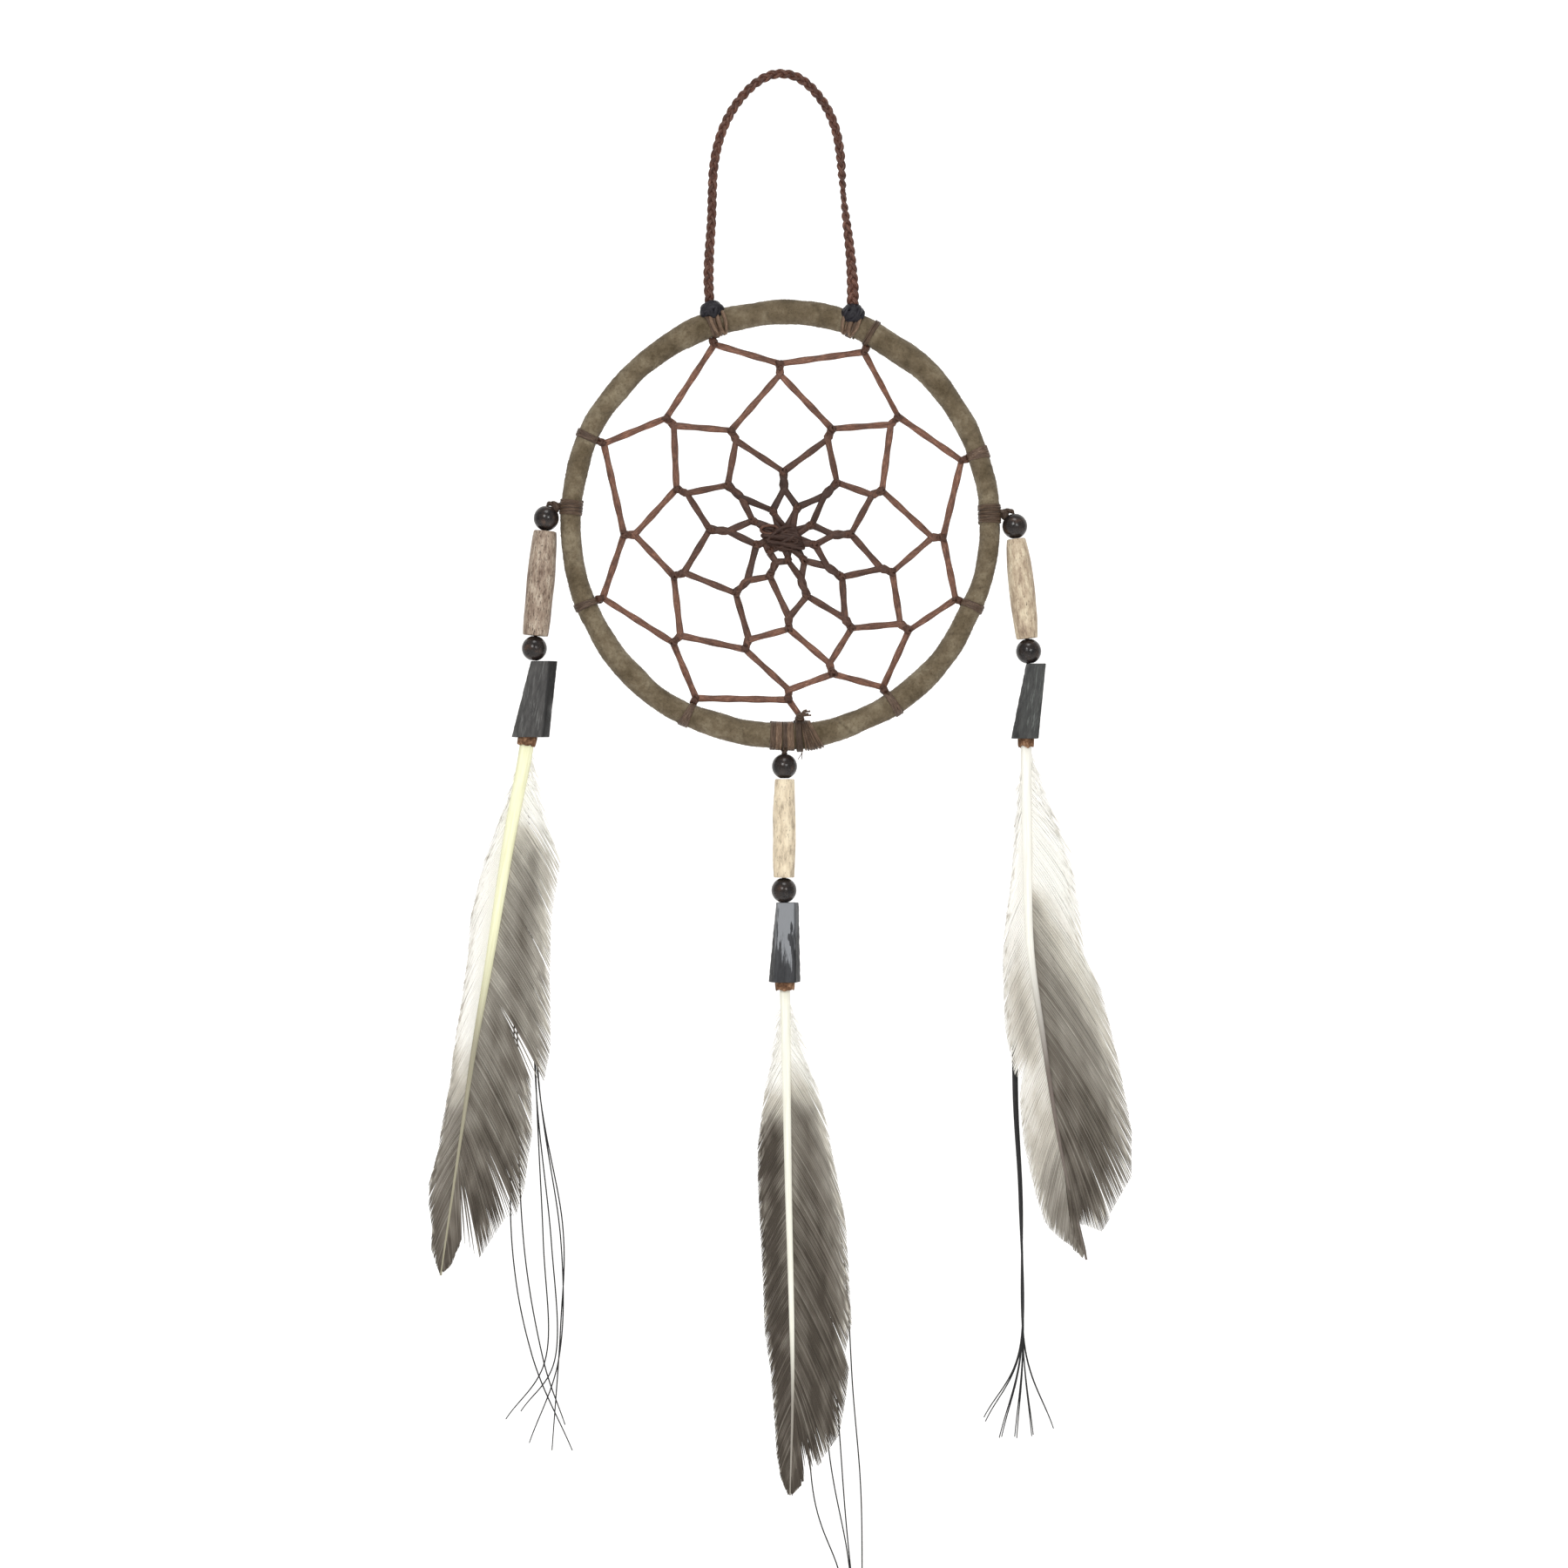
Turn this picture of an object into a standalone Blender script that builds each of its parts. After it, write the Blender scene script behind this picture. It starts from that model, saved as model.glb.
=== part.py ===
"""Dream catcher: a suede-wrapped hoop with a woven sinew net, hung from a braided loop, with three
pendants of beads, hairpipe, horn and feather. Metres, +Z up, the front faces -Y. The origin is the
inside top of the braided loop, where a nail or hook carries it."""

import math

import bmesh
import bpy
from mathutils import Matrix, Vector

MM = 0.001

# Driving dimensions, in millimetres until they are placed.
GAP = 0.3
HOOP_CENTRE = (0.0, -153.3)
HOOP_ACROSS = 72.2  # centreline radius, sideways
HOOP_TALL = 73.0  # centreline radius, up and down
TUBE_SIDE = 3.55  # wrapped tube's radius at the hoop's sides
TUBE_END = 4.35  # and at its top and bottom
WRAP_WALL = 0.9
CORE_RADIUS = 2.25
SEAM = (-87.5, 1.2)  # where the wrap's ends meet and the angle left between them, in degrees
HOOP_STEPS = 52

STRING_RADIUS = 0.6
TURN_WALL = 0.7  # the net's turns round the hoop
BINDING_WALL = 0.45
RIDGE_DIP = 0.3  # share of the wall lost between two ridges of thread
RIDGE_PITCH = 2.7
SLEEVE_GAP = 0.45  # under turns that follow the hoop's curve in straight steps
NET_CENTRE = (1.95, -157.8)
ANCHORS = (-84.3, -116.2, -157.8, 155.6, 110.3, 63.8, 19.2, -22.8, -57.5)
# Each row of hitches works inward: distance from the net's centre, then angle.
HITCH_ROWS = (
    (
        (55.9, -89), (53.1, -137), (55.7, 179), (58.2, 135), (59.9, 92),
        (56.9, 47), (54.2, 0), (53.1, -37), (49.7, -71),
    ),
    (
        (41.0, -110), (40.8, -161), (41.2, 156), (41.4, 117), (40.7, 67),
        (36.9, 26), (38.6, -18), (38.6, -54), (31.5, -88),
    ),
    (
        (25.8, -132), (26.3, 174), (26.9, 138), (22.7, 92), (25.9, 47),
        (22.5, 3), (23.7, -35), (21.4, -70), (14.5, -112),
    ),
    (
        (10.4, -166), (12.8, 153), (10.3, 116), (11.2, 69), (10.0, 26),
        (10.5, -14), (10.3, -51), (8.2, -84), (7.6, -138),
    ),
)
# Anchors that show turns of their own, each with its length; the other three lie under the bindings.
NET_TURNS = ((-116.2, 3.4), (-157.8, 2.5), (155.6, 2.5), (19.2, 4.2), (-22.8, 2.5), (-57.5, 2.5))
ANCHOR_GAP = 0.15  # between a turn and the hitch inside it
TANGLE = ((0.8, 0.6, 2.2), (2.6, 1.2, 1.9), (3.6, 1.4, 0.5))  # x, z and radius about the net's centre
WEAVE = 0.95  # half the distance, front to back, between the two strings of a hitch
HITCH_SWELL = 1.55
HITCH_PULL = 0.35  # how far each pass of the string stands off the hitch's middle, away from the other
# Steps along the string at a hitch, in millimetres, each with the string's swelling there.
KNOTTED_STEPS = ((-1.3, 1.0), (0.01, HITCH_SWELL), (1.3, 1.0))
BENT_STEPS = ((-0.6, 1.0), (0.6, 1.0))
LONGEST_STEP = 0.3  # of the way to the next hitch

BRAID_RADIUS = 1.7
BRAID_POINTS = 32
BRAID_SWING = -2.2  # how far in front of the hoop's plane the loop is knotted
BRAID_FALL = 70  # height below the nail where it has come that far forward
KNOTS = {"left": ((-23.4, -79.7), 3.7), "right": ((25.1, -81.3), 3.4)}
HANGER_BANDS = {"left": (108.4, 7.8), "right": (68.4, 10.2)}  # middle in degrees, then length
SEAT_SWEEP = 18  # the knot's hollow over its binding, in degrees of the hoop
SEAT_POINTS = 7
SEAT_GAP = 0.25
BRAID_ROUTE = (
    (-24.3, -75.8),
    (-24.6, -68.5),
    (-24.3, -59.6),
    (-23.6, -49.2),
    (-23.3, -38.9),
    (-22.9, -31.0),
    (-21.5, -23.0),
    (-18.9, -15.4),
    (-14.8, -8.2),
    (-9.4, -2.2),
    (-4.3, 1.0),
    (0.6, 1.9),
    (6.1, 0.6),
    (11.4, -3.6),
    (16.2, -10.2),
    (19.1, -17.4),
    (20.6, -25.1),
    (21.3, -33.4),
    (21.9, -41.7),
    (22.9, -49.9),
    (23.9, -57.8),
    (24.6, -65.6),
    (25.0, -72.2),
    (25.0, -77.5),
)

BEAD_RADIUS = 4.2
BORE_RADIUS = 1.05
BORE_EASE = 4  # the bead's bore opens this many degrees before its edge
BEAD_LIP = 0.1
CORD_RADIUS = 0.75
PIPE_END_RADIUS = 3.5
PIPE_MIDDLE_RADIUS = 4.7
PIPE_SWELL = 0.8  # power of the cosine that the hairpipe's outline follows
PIPE_EASE = 0.3
TIE_POINTS = 9
TIE_RISE = 0.9  # top of the tie over the bead's own top
TIE_ARCH = 0.7
STACK_GAP = 0.2
CAVITY_DEPTH = 7.6
OVERCUT = 1.5  # how far a cutter runs past the face it opens
KNOT_DROP = 1.9  # middle of the pendant cord's knot below the horn's hollow roof
KNOT_STEPS = ((-1.6, CORD_RADIUS), (-0.9, 1.5), (0.9, 1.5), (1.4, 0.8))  # place along it, then radius
PLUG_INSIDE = 3.8
PLUG_OUTSIDE = 2.6
PLUG_WALL = 0.7
SHAFT_STOP = 0.4  # shaft's end short of the plug's
SHAFT_STRAIGHT = 1.2  # its straight run past the plug
SHAFT_NARROWING = 0.85  # at its end inside the plug
VANE_THICKNESS = 0.5
VANE_GAP = 0.45  # measured level, so a slanting shaft keeps its clearance
VANE_LEAST = 1.2  # least reach of a vane past its shaft
HAIR_RADIUS = 0.22
HAIR_FRONT = 1.5  # depth of the first hair behind the hoop's plane
HAIR_PITCH = 0.55
HAIR_POINTS = 11
HAIR_CIRCLE = 0.45  # hairs leave the lock round this radius
HAIR_STRAIGHT = 2.0  # their straight run below the lock
LOCK_LENGTH = 4.0
LOCK_RADII = (0.9, 1.1)  # at its foot and its top
LOCK_BEHIND = 1.3  # the lock's middle behind the shaft's surface
LOCK_BELOW = 0.35  # and its top below the plug

# One pendant each: places in the hoop's plane (x, z). Outlines of the horn go round from the front
# left corner, as x and y about its middle. A vane's stations are z and its width from the shaft.
PENDANTS = {
    "left": {
        "binding": (175.4, 5.4),
        "tie": (-77.1, -146.2),
        "beads": ((-80.5, -151.2), (-84.6, -196.0)),
        "horn_top": (-81.15, -200.7),
        "horn_foot": (-85.8, -226.6),
        "top_outline": ((-4.5, -3.1), (2.1, -3.3), (4.5, -1.0), (4.2, 2.4), (2.4, 3.2), (-3.9, 3.1)),
        "foot_outline": ((-6.4, -4.4), (4.9, -4.6), (6.4, -1.5), (6.0, 3.6), (3.5, 4.6), (-5.6, 4.4)),
        "cord_hole": -83.5,
        "plug_radius": 3.2,
        "plug": ((-86.9, -226.6), (-0.16, -0.987)),
        "shaft": ((-88.9, -239.0), (-92.8, -259.0), (-100.2, -304.3), (-105.4, -334.2), (-109.8, -363.5),
                  (-116.9, -411.9)),
        "shaft_radii": (2.3, 2.2, 1.5, 1.2, 0.9, 0.4),
        "vane_left": ((-240, 3.4), (-268, 5.6), (-280, 9.2), (-293, 8.6), (-317, 7.0), (-354, 6.0),
                      (-368, 6.3), (-380, 7.5), (-387, 7.4), (-393, 6.0), (-401, 3.2)),
        "vane_right": ((-240, 4.6), (-247, 9.0), (-256, 15.0), (-270, 19.0), (-286, 21.0), (-289, 17.0),
                       (-304, 21.8), (-321, 24.0), (-338, 25.4), (-346, 21.0), (-373, 25.2), (-386, 24.6),
                       (-393, 23.2), (-403, 16.0), (-406, 8.0)),
        "hairs": (
            ((-88.0, -270), (-86.5, -345), (-81.5, -400), (-80.5, -440), (-94.3, -463)),
            ((-88.5, -270), (-87.0, -345), (-79.0, -400), (-77.5, -440), (-89.5, -460)),
            ((-89.0, -270), (-86.0, -345), (-76.0, -400), (-76.5, -440), (-87.1, -470)),
            ((-89.5, -270), (-85.5, -345), (-74.8, -395), (-75.5, -430), (-78.3, -472)),
            ((-90.0, -270), (-90.5, -345), (-88.5, -400), (-82.0, -440), (-74.0, -464)),
            ((-90.5, -270), (-92.5, -345), (-93.0, -400), (-86.0, -440), (-72.2, -472)),
        ),
    },
    "right": {
        "binding": (2.7, 6.6),
        "tie": (77.1, -148.6),
        "beads": ((80.8, -153.9), (85.6, -197.0)),
        "horn_top": (88.05, -201.7),
        "horn_foot": (84.2, -227.1),
        "top_outline": ((-2.7, -3.1), (3.3, -3.0), (3.1, 2.6), (1.4, 3.2), (-2.4, 3.1), (-3.3, 0.1)),
        "foot_outline": ((-2.6, -4.4), (4.6, -4.3), (4.3, 3.6), (1.8, 4.5), (-3.0, 4.4), (-4.7, 0.1)),
        "cord_hole": 86.75,
        "plug_radius": 2.8,
        "plug": ((84.8, -227.1), (0.01, -1.0)),
        "shaft": ((84.75, -239.0), (85.0, -262.0), (86.1, -298.2), (90.6, -330.0), (96.6, -368.0),
                  (105.5, -406.5)),
        "shaft_radii": (1.85, 1.8, 1.4, 1.1, 0.8, 0.4),
        "vane_left": ((-243, 3.0), (-270, 4.6), (-292, 6.3), (-304, 9.2), (-317, 11.4), (-341, 12.2),
                      (-345, 10.8), (-358, 13.0), (-370, 13.5), (-382, 12.8), (-393, 10.8), (-399, 5.4)),
        "vane_right": ((-238, 3.0), (-250, 9.0), (-262, 13.6), (-275, 15.0), (-292, 15.4), (-298, 18.0),
                       (-310, 22.8), (-315, 26.2), (-326, 23.0), (-335, 24.2), (-350, 25.4), (-361, 26.0),
                       (-372, 24.8), (-383, 19.8), (-391, 13.4), (-397, 8.3)),
        "hairs": (
            ((81.5, -270), (80.4, -342), (82.6, -386), (83.0, -436), (70.6, -461)),
            ((82.0, -270), (80.9, -342), (82.9, -386), (83.4, -436), (76.4, -469)),
            ((82.5, -270), (81.2, -342), (83.1, -386), (83.8, -436), (81.0, -468)),
            ((83.0, -270), (81.5, -342), (83.4, -386), (84.0, -436), (87.0, -467)),
            ((83.5, -270), (81.9, -342), (83.6, -386), (84.4, -436), (94.7, -465)),
        ),
    },
    "bottom": {
        "binding": (-87.0, 16.2),
        "tie": (1.5, -231.8),
        "beads": ((1.5, -236.6), (1.35, -279.3)),
        "horn_top": (2.55, -284.0),
        "horn_foot": (1.5, -310.9),
        "top_outline": ((-3.3, -3.1), (2.7, -3.2), (3.9, 0.2), (2.6, 3.1), (-2.8, 3.1), (-3.9, 0.0)),
        "foot_outline": ((-3.7, -4.5), (4.0, -4.6), (5.5, 0.3), (3.6, 4.5), (-3.6, 4.5), (-5.5, -0.2)),
        "cord_hole": 1.4,
        "plug_radius": 3.3,
        "plug": ((1.65, -310.9), (0.01, -1.0)),
        "shaft": ((1.9, -325.0), (2.2, -345.0), (2.9, -383.3), (4.0, -427.1), (4.3, -455.0), (3.4, -487.6)),
        "shaft_radii": (1.7, 1.5, 1.25, 1.0, 0.8, 0.4),
        "vane_left": ((-328, 3.0), (-345, 5.6), (-352, 7.2), (-366, 9.8), (-395, 10.4), (-420, 9.1), (-441, 8.6),
                      (-455, 6.9), (-468, 5.9), (-479, 4.2)),
        "vane_right": ((-326, 3.6), (-335, 6.4), (-343, 9.5), (-351, 13.2), (-357, 16.0), (-363, 18.1),
                       (-378, 20.8), (-389, 21.7), (-413, 19.6), (-427, 20.6), (-444, 18.9), (-462, 16.5),
                       (-468, 15.0), (-477, 9.2), (-481, 4.2)),
        "hairs": (
            ((6.0, -350), (9.0, -420), (11.0, -484), (20.5, -515), (25.2, -541)),
            ((6.5, -350), (12.0, -420), (17.0, -474), (23.5, -510), (26.5, -543)),
            ((7.0, -350), (17.0, -420), (20.5, -467), (23.0, -500), (27.0, -538)),
            ((7.5, -350), (21.0, -400), (25.2, -453), (28.0, -490), (28.3, -540)),
        ),
    },
}

SUEDE = ("suede", (0.19, 0.16, 0.11), 0.95)
WOOD = ("willow", (0.42, 0.28, 0.15), 0.8)
SINEW = ("sinew", (0.19, 0.07, 0.04), 0.45)
BRAID = ("braided_sinew", (0.17, 0.06, 0.04), 0.5)
WAXED = ("waxed_thread", (0.025, 0.023, 0.03), 0.5)
BEAD = ("dark_bead", (0.02, 0.015, 0.013), 0.15)
BONE = ("bone", (0.62, 0.52, 0.38), 0.45)
HORN = ("horn", (0.045, 0.047, 0.05), 0.4)
LEATHER = ("leather", (0.2, 0.1, 0.05), 0.8)
QUILL = ("quill", (0.93, 0.92, 0.72), 0.4)
FEATHER = ("feather", (0.4, 0.37, 0.33), 0.9)
HAIR = ("horsehair", (0.02, 0.02, 0.022), 0.45)

CORD_SIDES = 2  # a curve's bevel_resolution
HAIR_SIDES = 0


def clear_scene():
    for obj in list(bpy.data.objects):
        bpy.data.objects.remove(obj)


def make_collection(name, hidden=False):
    made = bpy.data.collections.new(name)
    bpy.context.scene.collection.children.link(made)
    made.hide_render = hidden
    return made


def material(look):
    name, colour, roughness = look
    made = bpy.data.materials.get(name)
    if made is None:
        made = bpy.data.materials.new(name)
        made.use_nodes = True
        shader = made.node_tree.nodes["Principled BSDF"]
        shader.inputs["Base Color"].default_value = (*colour, 1.0)
        shader.inputs["Roughness"].default_value = roughness
    return made


def add(name, data, look, group, pivot=None):
    """A new object in the model, ridden by its pivot."""
    obj = bpy.data.objects.new(name, data)
    group.objects.link(obj)
    if look is not None:
        data.materials.append(material(look))
    if pivot is not None:
        follow(obj, pivot)
    return obj


def follow(obj, pivot):
    """Parents an object to a pivot and leaves it where it is."""
    obj.parent = pivot
    obj.matrix_parent_inverse = pivot.matrix_world.inverted()


def add_pivot(name, place, parent=None):
    """An empty on a joint's axis."""
    obj = bpy.data.objects.new(name, None)
    MODEL.objects.link(obj)
    obj.location = place
    bpy.context.view_layer.update()
    if parent is not None:
        follow(obj, parent)
        bpy.context.view_layer.update()
    return obj


def at(x, z, y=0.0):
    return Vector((x, y, z)) * MM


def smooth_route(points, count):
    """Points along a Catmull-Rom curve through the route's own points, evenly by parameter."""
    ends = [2 * points[0] - points[1], *points, 2 * points[-1] - points[-2]]
    spans = len(points) - 1
    route = []
    for i in range(count):
        along = i * spans / (count - 1)
        k = min(int(along), spans - 1)
        t = along - k
        a, b, c, d = ends[k : k + 4]
        bend = 2 * a - 5 * b + 4 * c - d
        twist = 3 * b - a - 3 * c + d
        route.append(0.5 * (2 * b + (c - a) * t + bend * t**2 + twist * t**3))
    return route


def tube_data(name, points, radii, sides=CORD_SIDES, closed=False, capped=True):
    """A round tube along points; radii holds one radius a point, in metres."""
    data = bpy.data.curves.new(name, "CURVE")
    data.dimensions = "3D"
    data.bevel_depth = 1.0
    data.bevel_resolution = sides
    data.use_fill_caps = capped
    spline = data.splines.new("POLY")
    spline.points.add(len(points) - 1)
    for spot, place, radius in zip(spline.points, points, radii):
        spot.co = (*place, 1.0)
        spot.radius = radius
    spline.use_cyclic_u = closed
    return data


def mesh_of(obj):
    """The mesh that a curve object makes, its caps welded on; the curve is removed."""
    bpy.context.view_layer.update()
    graph = bpy.context.evaluated_depsgraph_get()
    mesh = bpy.data.meshes.new_from_object(obj.evaluated_get(graph))
    mesh.transform(obj.matrix_world)
    shape = bmesh.new()
    shape.from_mesh(mesh)
    bmesh.ops.remove_doubles(shape, verts=shape.verts, dist=0.001 * MM)
    bmesh.ops.recalc_face_normals(shape, faces=shape.faces)
    shape.to_mesh(mesh)
    shape.free()
    bpy.data.objects.remove(obj)
    return mesh


def round_off(obj):
    """Shades the faces smoothly where they meet at less than 40 degrees."""
    obj.data.shade_smooth()
    obj.data.set_sharp_from_angle(angle=math.radians(40))


def add_tube(name, points, radii, look, pivot, sides=CORD_SIDES):
    return add(name, tube_data(name, points, radii, sides), look, MODEL, pivot)


def add_pipe(name, points, radii, wall, look, pivot, sides):
    """An open tube along points, given a wall that grows inward."""
    guide = add(name + "_guide", tube_data(name, points, radii, sides, capped=False), None, CUTTERS)
    obj = add(name, mesh_of(guide), look, MODEL, pivot)
    shell = obj.modifiers.new("wall", "SOLIDIFY")
    shell.thickness = wall
    shell.offset = -1.0
    round_off(obj)
    return obj


def add_turned(name, profile, look, steps=12):
    """A solid of revolution about Z; the profile (radius, height) runs down its outside and up its bore."""
    mesh = bpy.data.meshes.new(name)
    count = len(profile)
    places = [Vector((r, 0.0, z)) * MM for r, z in profile]
    mesh.from_pydata(places, [(i, (i + 1) % count) for i in range(count)], [])
    obj = add(name, mesh, look, MODEL)
    turn = obj.modifiers.new("turn", "SCREW")
    turn.steps = steps
    turn.render_steps = steps
    turn.use_merge_vertices = True
    turn.merge_threshold = 1e-6
    turn.use_smooth_shade = True
    return obj


def cut(obj, tool, operation="DIFFERENCE"):
    change = obj.modifiers.new(tool.name, "BOOLEAN")
    change.operation = operation
    change.object = tool
    change.solver = "EXACT"


def cutter(name, mesh):
    obj = add(name, mesh, None, CUTTERS)
    obj.display_type = "WIRE"
    return obj


def rod_cutter(name, start, end, radius, sides=14):
    """A cylinder between two places, for cutting."""
    mesh = bpy.data.meshes.new(name)
    shape = bmesh.new()
    run = end - start
    turned = run.to_track_quat("Z", "Y").to_matrix().to_4x4()
    bmesh.ops.create_cone(
        shape,
        cap_ends=True,
        segments=sides,
        radius1=radius,
        radius2=radius,
        depth=run.length,
        matrix=Matrix.Translation((start + end) / 2) @ turned,
    )
    shape.to_mesh(mesh)
    shape.free()
    return cutter(name, mesh)


# The hoop


def hoop_point(degrees):
    """A place on the hoop's centreline, counted from +X towards +Z."""
    angle = math.radians(degrees)
    x, z = HOOP_CENTRE
    return at(x + HOOP_ACROSS * math.cos(angle), z + HOOP_TALL * math.sin(angle))


def hoop_radius(degrees):
    """The wrapped tube's radius there, in millimetres."""
    return TUBE_SIDE + (TUBE_END - TUBE_SIDE) * math.sin(math.radians(degrees)) ** 2


def make_core(pivot):
    places = [hoop_point(360 * i / HOOP_STEPS) for i in range(HOOP_STEPS)]
    radii = [CORE_RADIUS * MM] * HOOP_STEPS
    data = tube_data("hoop_core", places, radii, sides=1, closed=True)
    add("hoop_core", data, WOOD, MODEL, pivot)


def make_wrap(pivot):
    seam, opening = SEAM
    start = seam + opening / 2
    sweep = 360 - opening
    angles = [start + sweep * i / HOOP_STEPS for i in range(HOOP_STEPS + 1)]
    places = [hoop_point(a) for a in angles]
    radii = [hoop_radius(a) * MM for a in angles]
    add_pipe("hoop_wrap", places, radii, WRAP_WALL * MM, SUEDE, pivot, sides=2)


def make_sleeve(name, middle, length, wall, look, pivot, ridges):
    """Turns of thread round the hoop: length in millimetres along it, one ridge a turn."""
    sweep = math.degrees(length / HOOP_ACROSS)
    count = 2 * ridges
    angles = [middle + sweep * (i / count - 0.5) for i in range(count + 1)]
    dip = RIDGE_DIP * wall
    places = [hoop_point(a) for a in angles]
    radii = []
    for i, angle in enumerate(angles):
        valley = dip if i % 2 == 0 else 0.0
        radii.append((hoop_radius(angle) + SLEEVE_GAP + wall - valley) * MM)
    add_pipe(name, places, radii, (wall - dip) * MM, look, pivot, sides=3)


# The net


def net_point(distance, degrees):
    angle = math.radians(degrees)
    x, z = NET_CENTRE
    return at(x + distance * math.cos(angle), z + distance * math.sin(angle))


def anchor_point(degrees):
    """Where the string leaves its turn round the hoop, on the inner side."""
    place = hoop_point(degrees)
    inward = (at(*HOOP_CENTRE) - place).normalized()
    reach = hoop_radius(degrees) + SLEEVE_GAP + TURN_WALL + ANCHOR_GAP + HITCH_SWELL * STRING_RADIUS
    return place + inward * reach * MM


def net_passes(count):
    """The string's way past the hitches: each one's number, and whether the string is knotted there.
    Hitch k hangs on the string between hitches k - 9 and k - 8, so the string passes it twice: bent
    behind it, then knotted in front."""
    passes = []
    for number in range(count):
        passes.append((number, True))
        if number + len(ANCHORS) < count:
            passes.append((number + len(ANCHORS), False))
    return passes


def net_route():
    """The one long string of the net, as (place, radius)."""
    hitches = [anchor_point(a) for a in ANCHORS]
    hitches += [net_point(*spot) for row in HITCH_ROWS for spot in row]
    centre = at(*NET_CENTRE)
    passes = net_passes(len(hitches))
    places = [hitches[number] for number, _ in passes] + [centre]
    front = Vector((0, -WEAVE, 0)) * MM
    route = []
    for i, (number, knotted) in enumerate(passes):
        place = places[i]
        before = places[max(i - 1, 0)]
        offset = front
        if number >= len(ANCHORS):
            offset = front + (place - centre).normalized() * HITCH_PULL * MM
        middle = place + offset if knotted else place - offset
        for along, swell in KNOTTED_STEPS if knotted else BENT_STEPS:
            towards = places[i + 1] - place if along > 0 else before - place
            if towards.length == 0:
                towards = place - places[i + 1]
            reach = min(abs(along) * MM, LONGEST_STEP * towards.length)
            route.append((middle + towards.normalized() * reach, swell * STRING_RADIUS * MM))
    arrival = (hitches[-1] - centre).normalized() * abs(KNOTTED_STEPS[0][0]) * MM
    route.append((centre + front + arrival, STRING_RADIUS * MM))
    for x, z, radius in TANGLE:
        route.append((centre + front + at(x, z), radius * MM))
    return route


def make_net(pivot):
    route = net_route()
    add_tube("web", [place for place, _ in route], [radius for _, radius in route], SINEW, pivot, sides=1)
    for number, (degrees, length) in enumerate(NET_TURNS, 1):
        make_sleeve(f"web_turn_{number}", degrees, length, TURN_WALL, SINEW, pivot, ridges=2)


# The hanger


def make_braid():
    route = []
    for x, z in BRAID_ROUTE:
        fallen = min(1.0, max(0.0, -z / BRAID_FALL))
        route.append(at(x, z, BRAID_SWING * fallen))
    points = smooth_route(route, BRAID_POINTS)
    add_tube("hanger_braid", points, [BRAID_RADIUS * MM] * BRAID_POINTS, BRAID, None)


def make_hanger_knots(pivot):
    """Round knots that sit on the bindings, each hollowed to clear its own."""
    for side, (place, radius) in KNOTS.items():
        middle, length = HANGER_BANDS[side]
        make_sleeve(f"hanger_binding_{side}", middle, length, BINDING_WALL, SINEW, pivot, ridges=4)
        mesh = bpy.data.meshes.new(f"hanger_knot_{side}")
        shape = bmesh.new()
        bmesh.ops.create_uvsphere(shape, u_segments=14, v_segments=8, radius=radius * MM)
        shape.to_mesh(mesh)
        shape.free()
        knot = add(f"hanger_knot_{side}", mesh, WAXED, MODEL, pivot)
        mesh.transform(Matrix.Translation(at(*place, BRAID_SWING)))
        around = [middle + SEAT_SWEEP * (i / (SEAT_POINTS - 1) - 0.5) for i in range(SEAT_POINTS)]
        places = [hoop_point(a) for a in around]
        radii = [(hoop_radius(a) + SLEEVE_GAP + BINDING_WALL + SEAT_GAP) * MM for a in around]
        guide = add(f"seat_{side}", tube_data("seat", places, radii, sides=4), None, CUTTERS)
        cut(knot, cutter(f"seat_of_{side}", mesh_of(guide)))


# A pendant


def make_tie(name, spec, pivot):
    """The cord from the hoop's binding, over and down through the upper bead."""
    tie = at(*spec["tie"])
    bead = at(*spec["beads"][0])
    down = (at(*spec["beads"][1]) - bead).normalized()
    top = bead - down * (BEAD_RADIUS + TIE_RISE) * MM
    foot = bead + down * (BEAD_RADIUS - BEAD_LIP) * MM
    straight_down = abs(tie.x - bead.x) < CORD_RADIUS * MM
    if straight_down:
        route = [tie, (tie + bead) / 2, bead, foot]
    else:
        route = [tie, (tie + top) / 2 + at(0, TIE_ARCH), top, bead, foot]
    points = smooth_route(route, TIE_POINTS)
    add_tube(name, points, [CORD_RADIUS * MM] * TIE_POINTS, SINEW, pivot, sides=1)


def bead_profile():
    """Down the round outside, then up the bore."""
    rim = math.degrees(math.asin(BORE_RADIUS / BEAD_RADIUS)) + BORE_EASE
    angles = [math.radians(rim + (180 - 2 * rim) * i / 7) for i in range(8)]
    outside = [(BEAD_RADIUS * math.sin(a), BEAD_RADIUS * math.cos(a)) for a in angles]
    height = outside[0][1] - BEAD_LIP
    return [*outside, (BORE_RADIUS, -height), (BORE_RADIUS, height)]


def pipe_profile(length):
    """A hairpipe: thickest in its middle, its ends just eased, bored through."""
    half = length / 2
    outside = []
    for i in range(7):
        along = 1 - 2 * i / 6
        bulge = math.cos(along * math.pi / 2) ** PIPE_SWELL
        outside.append((PIPE_END_RADIUS + (PIPE_MIDDLE_RADIUS - PIPE_END_RADIUS) * bulge, half * along))
    outside[0] = (PIPE_END_RADIUS, half - PIPE_EASE)
    outside[-1] = (PIPE_END_RADIUS, PIPE_EASE - half)
    head = (PIPE_END_RADIUS - PIPE_EASE, half)
    foot = (PIPE_END_RADIUS - PIPE_EASE, -half)
    return [head, *outside, foot, (BORE_RADIUS, -half), (BORE_RADIUS, half)]


def stand(obj, place, along, pivot):
    """Places a turned piece with its own -Z along a direction, and has it ride the pivot."""
    obj.location = place
    obj.rotation_euler = (-along).to_track_quat("Z", "Y").to_euler()
    follow(obj, pivot)


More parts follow.
